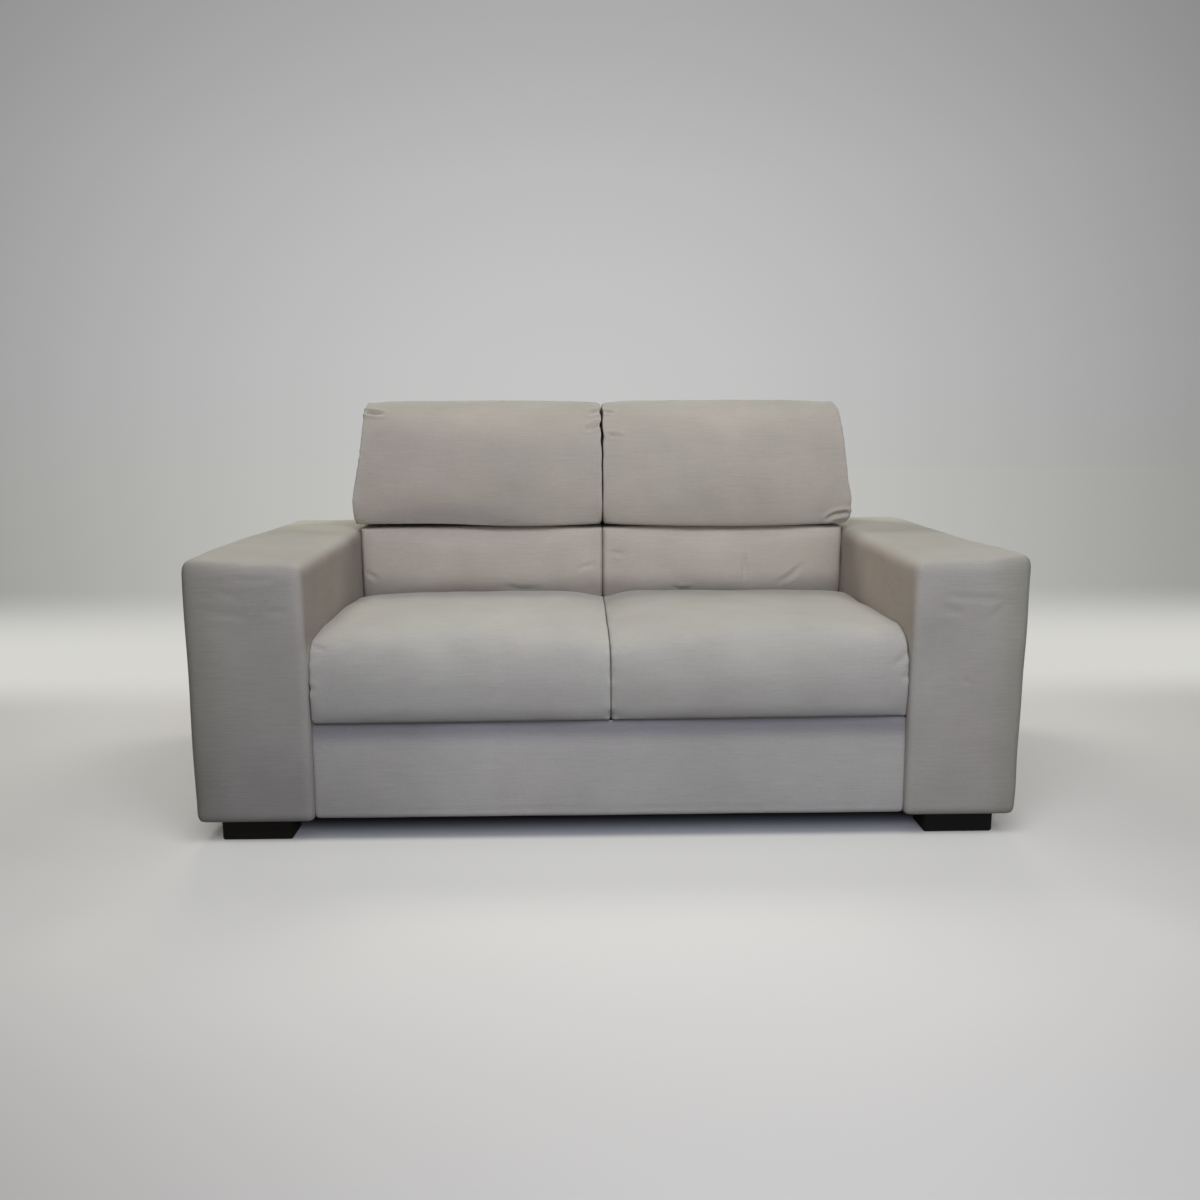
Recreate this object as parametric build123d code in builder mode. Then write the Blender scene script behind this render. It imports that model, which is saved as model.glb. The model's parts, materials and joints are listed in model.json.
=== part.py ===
from build123d import *
import math
import os

# Two-seater upholstered sofa: box arms bolted to a timber seat frame with a woven
# elastic deck, a ribbed back, loose-form cushions and two head rests that tilt back
# on ratchet hinge plates. Millimetres, +Z up, the front faces -Y, "left" is -X.
# The origin is on the floor, under the middle of the sofa.

# Overall sizes
overall_width = 1650
overall_depth = 900
arm_width = 228
arm_height = 575
foot_height = 55
seat_front_height = 203
head_top_height = 895
lumbar_rise = 8
back_depth = 150

# Shared material thicknesses and clearances
rail_thickness = 30
board_thickness = 18
hardboard_thickness = 3
skin_thickness = 14
plate_thickness = 3
soft_clearance = 0.3
screw_clearance = 0.1
bolt_clearance = 0.5
overrun = 5

half_width = overall_width / 2
front_y = -overall_depth / 2
rear_y = overall_depth / 2
seat_half = half_width - arm_width
seat_level = foot_height + seat_front_height
lumbar_top_height = arm_height + lumbar_rise
rib_front_y = rear_y - back_depth

os.makedirs("parts", exist_ok=True)


def save(part, name):
    """Labels a finished piece and writes it under its node name."""
    part.label = name
    export_step(part, f"parts/{name}.step")


def save_pair(part, name):
    """Writes a piece made on the +X side, and its mirror image on the -X side."""
    save(part, f"{name}_right")
    save(mirror(part, about=Plane.YZ), f"{name}_left")


def block(low, high):
    """A plain board between two corners, added to the part being built."""
    size = [b - a for a, b in zip(low, high)]
    middle = [(a + b) / 2 for a, b in zip(low, high)]
    with Locations(tuple(middle)):
        Box(*size)


# Feet: solid blocks, each held by two screws driven up from a counterbore
foot_width = 143
foot_length = 76
foot_side_inset = 30
foot_front_inset = 38
foot_edge = 3
screw_radius = 2.5
screw_head_radius = 6
screw_head_height = 4
foot_screw_spacing = 80
foot_bore_radius = 8
foot_bore_depth = 18
foot_screw_tip = 4

foot_x = half_width - foot_side_inset - foot_width / 2
foot_front_y = front_y + foot_front_inset + foot_length / 2
foot_places = {"front": foot_front_y, "rear": -foot_front_y}
foot_screw_places = [
    (x_sign * foot_x + screw_sign * foot_screw_spacing / 2, y)
    for x_sign in (-1, 1)
    for y in foot_places.values()
    for screw_sign in (-1, 1)
]
foot_screw_base = foot_bore_depth - screw_head_height
foot_screw_top = foot_height + board_thickness - foot_screw_tip

for end, y in foot_places.items():
    with BuildPart() as foot:
        with Locations((foot_x, y, 0)):
            Box(
                foot_width,
                foot_length,
                foot_height,
                align=(Align.CENTER, Align.CENTER, Align.MIN),
            )
        chamfer(foot.edges().filter_by(Axis.Z), foot_edge)
        chamfer(foot.edges().group_by(Axis.Z)[0], foot_edge)
        with BuildSketch(Plane.XY):
            with Locations((foot_x, y)):
                with GridLocations(foot_screw_spacing, 0, 2, 1):
                    Circle(foot_bore_radius)
        extrude(amount=foot_bore_depth, mode=Mode.SUBTRACT)
        with BuildSketch(Plane.XY):
            with Locations((foot_x, y)):
                with GridLocations(foot_screw_spacing, 0, 2, 1):
                    Circle(screw_radius + screw_clearance)
        extrude(amount=foot_height, mode=Mode.SUBTRACT)
    save_pair(foot.part, f"foot_{end}")

with BuildPart() as foot_screws:
    with BuildSketch(Plane.XY.offset(foot_screw_base)):
        with Locations(*foot_screw_places):
            Circle(screw_head_radius)
    extrude(amount=screw_head_height)
    with BuildSketch(Plane.XY.offset(foot_screw_base)):
        with Locations(*foot_screw_places):
            Circle(screw_radius)
    extrude(amount=foot_screw_top - foot_screw_base)
save(foot_screws.part, "foot_screws")

# Arm box: a skin of foam and cloth over a boarded frame, open underneath
arm_inner_x = seat_half
arm_edge_radius = 27
arm_base_radius = 6
bolt_radius = 4
bolt_head_radius = 7.5
bolt_head_height = 5.5
washer_radius = 11
washer_thickness = 2
tee_flange_radius = 11
tee_flange_thickness = 2
tee_barrel_radius = 5.5
tee_barrel_length = 12
bolt_end = 6
bolt_rise = 95
bolt_front_inset = 180
bolt_rear_inset = 320
bolt_rail_height = 80

board_low_x = arm_inner_x + skin_thickness
board_high_x = half_width - skin_thickness
board_front_y = front_y + skin_thickness
board_rear_y = rear_y - skin_thickness
board_top_z = arm_height - skin_thickness
bottom_board_top = foot_height + board_thickness
top_board_base = board_top_z - board_thickness
bolt_rail_x = board_low_x + hardboard_thickness
bolt_rail_end_x = bolt_rail_x + rail_thickness
bolt_height = foot_height + bolt_rise
bolt_places = [
    (front_y + bolt_front_inset, bolt_height),
    (rear_y - bolt_rear_inset, bolt_height),
]

with BuildPart() as arm_cover:
    block((arm_inner_x, front_y, foot_height), (half_width, rear_y, arm_height))
    fillet(arm_cover.edges().filter_by(Axis.Z), arm_edge_radius)
    fillet(arm_cover.edges().group_by(Axis.Z)[-1], arm_edge_radius)
    fillet(arm_cover.edges().group_by(Axis.Z)[0], arm_base_radius)
    with BuildSketch(Plane.XY.offset(foot_height)):
        with Locations(((board_low_x + board_high_x) / 2, 0)):
            Rectangle(board_high_x - board_low_x, board_rear_y - board_front_y)
    extrude(amount=board_top_z - foot_height, mode=Mode.SUBTRACT)
    with BuildSketch(Plane.YZ.offset(arm_inner_x - overrun)):
        with Locations(*bolt_places):
            Circle(bolt_radius + bolt_clearance)
    extrude(amount=skin_thickness + 2 * overrun, mode=Mode.SUBTRACT)
save_pair(arm_cover.part, "arm_cover")

for end, low_y, high_y in (
    ("front", board_front_y, board_front_y + board_thickness),
    ("rear", board_rear_y - board_thickness, board_rear_y),
):
    with BuildPart() as arm_end_board:
        block(
            (board_low_x, low_y, foot_height),
            (board_high_x, high_y, board_top_z),
        )
    save_pair(arm_end_board.part, f"arm_{end}_board")

with BuildPart() as arm_top_board:
    block(
        (board_low_x, board_front_y + board_thickness, top_board_base),
        (board_high_x, board_rear_y - board_thickness, board_top_z),
    )
save_pair(arm_top_board.part, "arm_top_board")

with BuildPart() as arm_bottom_board:
    block(
        (board_low_x, board_front_y + board_thickness, foot_height),
        (board_high_x, board_rear_y - board_thickness, bottom_board_top),
    )
    with BuildSketch(Plane.XY.offset(foot_height)):
        with Locations(*[place for place in foot_screw_places if place[0] > 0]):
            Circle(screw_radius + screw_clearance)
    extrude(amount=board_thickness, mode=Mode.SUBTRACT)
save_pair(arm_bottom_board.part, "arm_bottom_board")

with BuildPart() as arm_panels:
    for low_x in (board_low_x, board_high_x - hardboard_thickness):
        block(
            (low_x, board_front_y + board_thickness, bottom_board_top),
            (
                low_x + hardboard_thickness,
                board_rear_y - board_thickness,
                top_board_base,
            ),
        )
    with BuildSketch(Plane.YZ.offset(board_low_x)):
        with Locations(*bolt_places):
            Circle(bolt_radius + bolt_clearance)
    extrude(amount=hardboard_thickness, mode=Mode.SUBTRACT)
save_pair(arm_panels.part, "arm_panels")

with BuildPart() as arm_bolt_rail:
    block(
        (
            bolt_rail_x,
            board_front_y + board_thickness,
            bolt_height - bolt_rail_height / 2,
        ),
        (
            bolt_rail_end_x,
            board_rear_y - board_thickness,
            bolt_height + bolt_rail_height / 2,
        ),
    )
    with BuildSketch(Plane.YZ.offset(bolt_rail_x)):
        with Locations(*bolt_places):
            Circle(tee_barrel_radius + screw_clearance)
    extrude(amount=rail_thickness, mode=Mode.SUBTRACT)
save_pair(arm_bolt_rail.part, "arm_bolt_rail")

# Arm bolts: hexagon heads inside the seat frame, tee nuts inside the arm
bolt_seat_x = seat_half - rail_thickness
bolt_tip_x = bolt_rail_end_x + tee_flange_thickness + bolt_end

with BuildPart() as bolts_right:
    with BuildSketch(Plane.YZ.offset(bolt_seat_x - washer_thickness)):
        with Locations(*bolt_places):
            RegularPolygon(bolt_head_radius, 6)
    extrude(amount=-bolt_head_height)
    with BuildSketch(Plane.YZ.offset(bolt_seat_x - washer_thickness)):
        with Locations(*bolt_places):
            Circle(bolt_radius)
    extrude(amount=bolt_tip_x - bolt_seat_x + washer_thickness)
with BuildPart() as arm_bolts:
    add(bolts_right.part)
    mirror(bolts_right.part, about=Plane.YZ)
save(arm_bolts.part, "arm_bolts")

with BuildPart() as washers_right:
    with BuildSketch(Plane.YZ.offset(bolt_seat_x - washer_thickness)):
        with Locations(*bolt_places):
            Circle(washer_radius)
            Circle(bolt_radius + bolt_clearance, mode=Mode.SUBTRACT)
    extrude(amount=washer_thickness)
with BuildPart() as bolt_washers:
    add(washers_right.part)
    mirror(washers_right.part, about=Plane.YZ)
save(bolt_washers.part, "bolt_washers")

with BuildPart() as nuts_right:
    with BuildSketch(Plane.YZ.offset(bolt_rail_end_x)):
        with Locations(*bolt_places):
            Circle(tee_flange_radius)
            Circle(bolt_radius + screw_clearance, mode=Mode.SUBTRACT)
    extrude(amount=tee_flange_thickness)
    with BuildSketch(Plane.YZ.offset(bolt_rail_end_x)):
        with Locations(*bolt_places):
            Circle(tee_barrel_radius)
            Circle(bolt_radius + screw_clearance, mode=Mode.SUBTRACT)
    extrude(amount=-tee_barrel_length)
with BuildPart() as tee_nuts:
    add(nuts_right.part)
    mirror(nuts_right.part, about=Plane.YZ)
save(tee_nuts.part, "tee_nuts")

# Seat frame: rails, corner blocks, dust cover and the padded front panel
frame_rise = 5
dust_cover_thickness = 2
front_panel_thickness = 18
front_panel_edge = 6
deck_thickness = 2
strap_thickness = 2.4
strap_lift = 1.5
centre_rail_drop = 16
corner_block_leg = 70
corner_block_height = 80
corner_block_drop = 20
deck_edge = 3

frame_base = foot_height + frame_rise
deck_top = seat_level - soft_clearance
rail_top = deck_top - deck_thickness - soft_clearance - strap_thickness - strap_lift
frame_front_y = front_y + front_panel_thickness
front_rail_rear_y = frame_front_y + rail_thickness
rear_rail_front_y = rib_front_y - rail_thickness
side_rail_x = seat_half - rail_thickness

with BuildPart() as front_panel:
    block(
        (soft_clearance - seat_half, front_y, foot_height),
        (seat_half - soft_clearance, frame_front_y, deck_top),
    )
    panel_edges = front_panel.edges().filter_by(Axis.X)
    fillet(panel_edges.group_by(Axis.Y)[0], front_panel_edge)
save(front_panel.part, "front_panel")

with BuildPart() as front_rail:
    block(
        (-seat_half, frame_front_y, frame_base),
        (seat_half, front_rail_rear_y, rail_top),
    )
save(front_rail.part, "front_rail")

with BuildPart() as rear_rail:
    block(
        (-seat_half, rear_rail_front_y, frame_base),
        (seat_half, rib_front_y, rail_top),
    )
save(rear_rail.part, "rear_rail")

with BuildPart() as side_rail:
    block(
        (side_rail_x, front_rail_rear_y, frame_base),
        (seat_half, rear_rail_front_y, rail_top),
    )
    with BuildSketch(Plane.YZ.offset(side_rail_x)):
        with Locations(*bolt_places):
            Circle(bolt_radius + bolt_clearance)
    extrude(amount=rail_thickness, mode=Mode.SUBTRACT)
save_pair(side_rail.part, "side_rail")

with BuildPart() as centre_rail:
    block(
        (-rail_thickness / 2, front_rail_rear_y, frame_base),
        (rail_thickness / 2, rear_rail_front_y, rail_top - centre_rail_drop),
    )
save(centre_rail.part, "centre_rail")

with BuildPart() as corner_blocks:
    block_top = rail_top - corner_block_drop
    with BuildSketch(Plane.XY.offset(block_top - corner_block_height)):
        for x_sign in (-1, 1):
            for corner_y, y_sign in ((front_rail_rear_y, 1), (rear_rail_front_y, -1)):
                corner_x = x_sign * side_rail_x
                with BuildLine():
                    Polyline(
                        (corner_x, corner_y),
                        (corner_x - x_sign * corner_block_leg, corner_y),
                        (corner_x, corner_y + y_sign * corner_block_leg),
                        close=True,
                    )
                make_face()
    extrude(amount=corner_block_height)
save(corner_blocks.part, "corner_blocks")

# Woven seat deck: elastic straps pass over and under each other between the rails
strap_width = 60
long_straps_per_seat = 4
cross_strap_count = 5
strap_end_margin = 6

seat_strap_pitch = side_rail_x / long_straps_per_seat
long_strap_x = [
    side * seat_strap_pitch * (index + 0.5)
    for side in (-1, 1)
    for index in range(long_straps_per_seat)
]
long_strap_x.sort()
cross_span = rear_rail_front_y - front_rail_rear_y
cross_strap_pitch = cross_span / cross_strap_count
cross_strap_y = [
    front_rail_rear_y + cross_strap_pitch * (index + 0.5)
    for index in range(cross_strap_count)
]
strap_middle_z = rail_top + strap_thickness / 2


def woven_outline(low_end, high_end, low_rail, high_rail, crossings, first_sign):
    """Draws a strap's edge-on outline, which lies flat over the rail at each end and
    is lifted and lowered in turn at each crossing between them."""
    middle = [(low_end, strap_middle_z), (low_rail, strap_middle_z)]
    sign = first_sign
    for place in crossings:
        level = strap_middle_z + sign * strap_lift
        middle.append((place - strap_width / 2, level))
        middle.append((place + strap_width / 2, level))
        sign = -sign
    middle.append((high_rail, strap_middle_z))
    middle.append((high_end, strap_middle_z))
    upper = [(u, v + strap_thickness / 2) for u, v in middle]
    lower = [(u, v - strap_thickness / 2) for u, v in middle]
    with BuildLine() as outline:
        Polyline(*upper, *reversed(lower), close=True)
    make_face(outline.edges())


with BuildPart() as webbing_long:
    for index, x in enumerate(long_strap_x):
        with BuildSketch(Plane.YZ.offset(x - strap_width / 2)):
            woven_outline(
                frame_front_y + strap_end_margin,
                rib_front_y - strap_end_margin,
                front_rail_rear_y,
                rear_rail_front_y,
                cross_strap_y,
                1 if index % 2 else -1,
            )
        extrude(amount=strap_width)
save(webbing_long.part, "webbing_long")

with BuildPart() as webbing_cross:
    for index, y in enumerate(cross_strap_y):
        with BuildSketch(Plane.XZ.offset(-y - strap_width / 2)):
            woven_outline(
                strap_end_margin - seat_half,
                seat_half - strap_end_margin,
                -side_rail_x,
                side_rail_x,
                long_strap_x,
                -1 if index % 2 else 1,
            )
        extrude(amount=strap_width)
save(webbing_cross.part, "webbing_cross")

with BuildPart() as seat_deck:
    block(
        (deck_edge - seat_half, frame_front_y + deck_edge, deck_top - deck_thickness),
        (seat_half - deck_edge, rib_front_y - deck_edge, deck_top),
    )
save(seat_deck.part, "seat_deck")

# Values of the hinge plates, which the ribs and the head rest are drilled for
tilt_range = 40
hinge_plate_width = 30
hinge_boss_radius = 26
hinge_plate_gap = 0.5
fixed_plate_length = 150
moving_plate_length = 120
hinge_pin_radius = 5
pivot_running_clearance = 0.05
pivot_head_radius = 9
pivot_head_height = 1.6
pivot_head_gap = 0.3
stop_pin_radius = 3
stop_slot_radius = 17
stop_slot_clearance = 0.4
stop_start_angle = 40
hinge_screw_inset = 15
hinge_screw_spacing = 60
hinge_screw_length = 20
hinge_head_radius = 4.5
hinge_head_height = 2

pivot_inset = 100
pivot_rise = 7
heel_radius = 50
heel_clearance = 3

pivot_y = rear_y - pivot_inset
pivot_height = lumbar_top_height + pivot_rise

hinge_pivot = (pivot_y, pivot_height)
fixed_screw_z = pivot_height - fixed_plate_length + hinge_screw_inset
fixed_screw_places = [
    (pivot_y, fixed_screw_z),
    (pivot_y, fixed_screw_z + hinge_screw_spacing),
]
moving_screw_z = pivot_height + moving_plate_length - hinge_screw_inset
moving_screw_places = [
    (pivot_y, moving_screw_z),
    (pivot_y, moving_screw_z - hinge_screw_spacing),
]

# Back frame: four shaped ribs carry the hinges, with rails notched in behind
rib_thickness = 25
rib_centre_gap = 3
rib_end_gap = 2
heel_seat_share = 0.7925
rear_cover_thickness = 12
ledge_depth = 48
ledge_rail_depth = 31
ledge_rail_height = 30
base_rail_height = 60
lumbar_strap_width = 50
lumbar_strap_count = 3
lumbar_strap_rise = 92
lumbar_strap_drop = 68

rib_rear_y = rear_y - rear_cover_thickness - hardboard_thickness
rib_low_x = (rib_centre_gap, seat_half - rib_end_gap - rib_thickness)

# The face of each rib that carries a plate, and which way the plates stack from it
hinge_seats = [
    (rib_low_x[0] + rib_thickness, 1),
    (rib_low_x[1], -1),
]
plate_stack = 2 * plate_thickness + hinge_plate_gap
heel_seat_radius = heel_radius + heel_clearance
rib_top_height = pivot_height - heel_seat_share * heel_seat_radius
rear_cover_top = rib_top_height + rear_cover_thickness
ledge_rail_base = rib_top_height - ledge_rail_height
base_rail_top = frame_base + base_rail_height
heel_seat_reach = math.sqrt(
    heel_seat_radius**2 - (pivot_height - rib_top_height) ** 2
)
heel_seat_bottom = pivot_height - heel_seat_radius

with BuildPart() as ribs_right:
    for low_x in rib_low_x:
        with BuildSketch(Plane.YZ.offset(low_x)):
            with BuildLine():
                Polyline(
                    (pivot_y - heel_seat_reach, rib_top_height),
                    (rib_front_y, rib_top_height),
                    (rib_front_y, frame_base),
                    (rib_rear_y - rail_thickness, frame_base),
                    (rib_rear_y - rail_thickness, base_rail_top),
                    (rib_rear_y, base_rail_top),
                    (rib_rear_y, ledge_rail_base),
                    (rib_rear_y - ledge_rail_depth, ledge_rail_base),
                    (rib_rear_y - ledge_rail_depth, rib_top_height),
                    (pivot_y + heel_seat_reach, rib_top_height),
                )
                ThreePointArc(
                    (pivot_y + heel_seat_reach, rib_top_height),
                    (pivot_y, heel_seat_bottom),
                    (pivot_y - heel_seat_reach, rib_top_height),
                )
            make_face()
        extrude(amount=rib_thickness)
    for seat_x, stack in hinge_seats:
        with BuildSketch(Plane.YZ.offset(seat_x)):
            with Locations(*fixed_screw_places):
                Circle(screw_radius + screw_clearance)
        extrude(amount=-stack * hinge_screw_length, mode=Mode.SUBTRACT)
with BuildPart() as back_ribs:
    add(ribs_right.part)
    mirror(ribs_right.part, about=Plane.YZ)
save(back_ribs.part, "back_ribs")

with BuildPart() as ledge_rail:
    block(
        (rib_end_gap - seat_half, rib_rear_y - ledge_rail_depth, ledge_rail_base),
        (seat_half - rib_end_gap, rib_rear_y, rib_top_height),
    )
save(ledge_rail.part, "ledge_rail")

with BuildPart() as rear_base_rail:
    block(
        (rib_end_gap - seat_half, rib_rear_y - rail_thickness, frame_base),
        (seat_half - rib_end_gap, rib_rear_y, base_rail_top),
    )
save(rear_base_rail.part, "rear_base_rail")

with BuildPart() as lumbar_webbing:
    low_strap = seat_level + lumbar_strap_rise
    high_strap = lumbar_top_height - lumbar_strap_drop
    strap_pitch = (high_strap - low_strap) / (lumbar_strap_count - 1)
    for index in range(lumbar_strap_count):
        height = low_strap + index * strap_pitch
        block(
            (
                rib_end_gap - seat_half,
                rib_front_y - strap_thickness,
                height - lumbar_strap_width / 2,
            ),
            (
                seat_half - rib_end_gap,
                rib_front_y,
                height + lumbar_strap_width / 2,
            ),
        )
save(lumbar_webbing.part, "lumbar_webbing")

with BuildPart() as rear_panel:
    block(
        (rib_end_gap - seat_half, rib_rear_y, foot_height),
        (seat_half - rib_end_gap, rib_rear_y + hardboard_thickness, rib_top_height),
    )
save(rear_panel.part, "rear_panel")

with BuildPart() as rear_cover:
    cover_inner_y = rear_y - rear_cover_thickness
    with BuildSketch(Plane.YZ.offset(soft_clearance - seat_half)):
        with BuildLine():
            Polyline(
                (cover_inner_y, foot_height),
                (rear_y, foot_height),
                (rear_y, rear_cover_top),
                (rear_y - ledge_depth, rear_cover_top),
                (rear_y - ledge_depth, rib_top_height),
                (cover_inner_y, rib_top_height),
                close=True,
            )
        make_face()
    extrude(amount=2 * (seat_half - soft_clearance))
    cover_edges = rear_cover.edges().filter_by(Axis.X)
    fillet(cover_edges.group_by(Axis.Z)[-1], front_panel_edge)
save(rear_cover.part, "rear_cover")

with BuildPart() as dust_cover:
    block(
        (deck_edge - seat_half, frame_front_y, frame_base - dust_cover_thickness),
        (seat_half - deck_edge, rib_rear_y, frame_base),
    )
save(dust_cover.part, "dust_cover")


# Cushions: closed forms lofted across the sofa's width. Each section is the full
# side outline, drawn in towards its middle by the two shares beside its place.
def drawn_in(point, middle, y_share, z_share):
    """Pulls an outline point towards the outline's middle."""
    return (
        middle[0] + (point[0] - middle[0]) * y_share,
        middle[1] + (point[1] - middle[1]) * z_share,
    )


def section_face(corners, middle, y_share, z_share, base):
    """Closes a run of arcs and lines, given as (kind, points), into a section.

    A point at the base stays level, so that the cushion keeps its seat."""
    with BuildLine() as outline:
        for kind, points in corners:
            placed = [drawn_in(point, middle, y_share, z_share) for point in points]
            placed = [
                (y, base) if point[1] == base else (y, z)
                for point, (y, z) in zip(points, placed)
            ]
            if kind == "arc":
                ThreePointArc(*placed)
            else:
                Line(*placed)
    make_face(outline.edges())


module_width = seat_half
module_gap = 1

# Seat cushion
seat_base_edge = 14
seat_front_bulge = 4
seat_front_turn = 72
seat_front_rise = 178
seat_mid_rise = 182
seat_rear_rise = 171
seat_step_lead = 26
seat_step_reach = 38
seat_shelf_rise = 145.5
seat_rear_gap = 6
seat_rear_edge = 12
seat_front_inset = 7
seat_corner_share = 0.2929

lumbar_depth = 174
lumbar_front_y = rib_front_y - lumbar_depth

seat_front_crown = seat_level + seat_front_rise
seat_mid_crown = seat_level + seat_mid_rise
seat_rear_crown = seat_level + seat_rear_rise
seat_rear_shelf = seat_level + seat_shelf_rise
seat_rear_step_y = lumbar_front_y - seat_step_lead
seat_rear_y = rib_front_y - seat_rear_gap
seat_face_y = front_y + seat_front_inset
seat_shelf_y = seat_rear_step_y + seat_step_reach
seat_outline = [
    (
        "arc",
        [
            (seat_face_y + seat_base_edge, seat_level),
            (
                seat_face_y + seat_base_edge * seat_corner_share,
                seat_level + seat_base_edge * seat_corner_share,
            ),
            (seat_face_y, seat_level + seat_base_edge),
        ],
    ),
    (
        "arc",
        [
            (seat_face_y, seat_level + seat_base_edge),
            (
                seat_face_y - seat_front_bulge,
                (seat_level + seat_base_edge + seat_front_crown - seat_front_turn) / 2,
            ),
            (seat_face_y, seat_front_crown - seat_front_turn),
        ],
    ),
    (
        "arc",
        [
            (seat_face_y, seat_front_crown - seat_front_turn),
            (
                seat_face_y + seat_front_turn * seat_corner_share,
                seat_front_crown - seat_front_turn * seat_corner_share,
            ),
            (seat_face_y + seat_front_turn, seat_front_crown),
        ],
    ),
    (
        "arc",
        [
            (seat_face_y + seat_front_turn, seat_front_crown),
            (
                (seat_face_y + seat_front_turn + seat_rear_step_y) / 2,
                seat_mid_crown,
            ),
            (seat_rear_step_y, seat_rear_crown),
        ],
    ),
    (
        "line",
        [(seat_rear_step_y, seat_rear_crown), (seat_shelf_y, seat_rear_shelf)],
    ),
    (
        "line",
        [
            (seat_shelf_y, seat_rear_shelf),
            (seat_rear_y - seat_rear_edge, seat_rear_shelf),
        ],
    ),
    (
        "line",
        [
            (seat_rear_y - seat_rear_edge, seat_rear_shelf),
            (seat_rear_y, seat_rear_shelf - seat_rear_edge),
        ],
    ),
    (
        "line",
        [
            (seat_rear_y, seat_rear_shelf - seat_rear_edge),
            (seat_rear_y, seat_level),
        ],
    ),
    (
        "line",
        [(seat_rear_y, seat_level), (seat_face_y + seat_base_edge, seat_level)],
    ),
]
seat_middle = ((seat_face_y + seat_rear_y) / 2, seat_level)

# Place across the module, then how much of its depth and height a section keeps
seat_section_shares = [
    (0.0, 0.965, 0.83),
    (0.025, 0.985, 0.885),
    (0.1, 0.997, 0.95),
    (0.28, 1.0, 0.99),
    (0.5, 1.0, 1.0),
    (0.72, 1.0, 0.995),
    (0.9, 0.997, 0.975),
    (0.975, 0.985, 0.945),
    (1.0, 0.968, 0.91),
]


def module_x(share):
    """Where a share of the module's width lies, from the centre line outwards."""
    return module_gap + share * (module_width - 2 * module_gap)


foam_side_margin = 34
foam_front_margin = 40
foam_rear_margin = 16
foam_base_margin = 12
foam_height = 122
foam_front_edge = 48

foam_low = (
    foam_side_margin,
    seat_face_y + foam_front_margin,
    seat_level + foam_base_margin,
)
foam_high = (
    module_width - foam_side_margin,
    seat_rear_y - foam_rear_margin,
    seat_level + foam_base_margin + foam_height,
)


def grown(low, high):
    """The pocket round a foam core, a soft clearance larger on every side."""
    return (
        tuple(value - soft_clearance for value in low),
        tuple(value + soft_clearance for value in high),
    )


with BuildPart() as seat_foam:
    block(foam_low, foam_high)
    top_edges = seat_foam.edges().filter_by(Axis.X).group_by(Axis.Z)[-1]
    fillet(top_edges.sort_by(Axis.Y)[0], foam_front_edge)
save_pair(seat_foam.part, "seat_foam")

with BuildPart() as seat_pocket:
    block(*grown(foam_low, foam_high))
    top_edges = seat_pocket.edges().filter_by(Axis.X).group_by(Axis.Z)[-1]
    fillet(top_edges.sort_by(Axis.Y)[0], foam_front_edge)

with BuildPart() as seat_cushion:
    for share, y_share, z_share in seat_section_shares:
        with BuildSketch(Plane.YZ.offset(module_x(share))):
            section_face(seat_outline, seat_middle, y_share, z_share, seat_level)
    loft(ruled=True)
    add(seat_pocket.part, mode=Mode.SUBTRACT)
save_pair(seat_cushion.part, "seat_cushion")

# Lumbar cushion, between the arms, below the head rest
lumbar_base_gap = 1.5
lumbar_base_turn = 25
lumbar_top_inset = 24
lumbar_top_turn = 10
lumbar_bulge = 5
lumbar_bulge_share = 0.53

lumbar_base = seat_rear_shelf + lumbar_base_gap
lumbar_height = lumbar_top_height - lumbar_base
lumbar_rear_y = rib_front_y - strap_thickness - soft_clearance
lumbar_top_y = lumbar_front_y + lumbar_top_inset
lumbar_bulge_y = lumbar_front_y - lumbar_bulge
lumbar_bulge_height = lumbar_base + lumbar_bulge_share * lumbar_height

lumbar_outline = [
    (
        "arc",
        [
            (lumbar_front_y + lumbar_base_turn, lumbar_base),
            (
                lumbar_front_y + lumbar_base_turn * seat_corner_share,
                lumbar_base + lumbar_base_turn * seat_corner_share,
            ),
            (lumbar_front_y, lumbar_base + lumbar_base_turn),
        ],
    ),
    (
        "arc",
        [
            (lumbar_front_y, lumbar_base + lumbar_base_turn),
            (lumbar_bulge_y, lumbar_bulge_height),
            (lumbar_top_y - lumbar_top_turn, lumbar_top_height - lumbar_top_turn),
        ],
    ),
    (
        "line",
        [
            (lumbar_top_y - lumbar_top_turn, lumbar_top_height - lumbar_top_turn),
            (lumbar_top_y, lumbar_top_height),
        ],
    ),
    (
        "line",
        [(lumbar_top_y, lumbar_top_height), (lumbar_rear_y, lumbar_top_height)],
    ),
    ("line", [(lumbar_rear_y, lumbar_top_height), (lumbar_rear_y, lumbar_base)]),
    (
        "line",
        [
            (lumbar_rear_y, lumbar_base),
            (lumbar_front_y + lumbar_base_turn, lumbar_base),
        ],
    ),
]
lumbar_middle = (lumbar_rear_y, lumbar_base)
lumbar_section_shares = [
    (0.0, 0.85, 0.985),
    (0.02, 0.9, 0.99),
    (0.07, 0.96, 0.995),
    (0.25, 0.995, 1.0),
    (0.5, 1.0, 1.0),
    (0.75, 0.995, 1.0),
    (0.93, 0.96, 0.995),
    (0.98, 0.9, 0.99),
    (1.0, 0.85, 0.985),
]

lumbar_foam_margin = 30
lumbar_foam_front_margin = 42
lumbar_foam_rear_margin = 10
lumbar_foam_base_margin = 14
lumbar_foam_top_margin = 16

lumbar_foam_low = (
    lumbar_foam_margin,
    lumbar_front_y + lumbar_foam_front_margin,
    lumbar_base + lumbar_foam_base_margin,
)
lumbar_foam_high = (
    module_width - lumbar_foam_margin,
    lumbar_rear_y - lumbar_foam_rear_margin,
    lumbar_top_height - lumbar_foam_top_margin,
)

with BuildPart() as lumbar_foam:
    block(lumbar_foam_low, lumbar_foam_high)
save_pair(lumbar_foam.part, "lumbar_foam")

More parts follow.
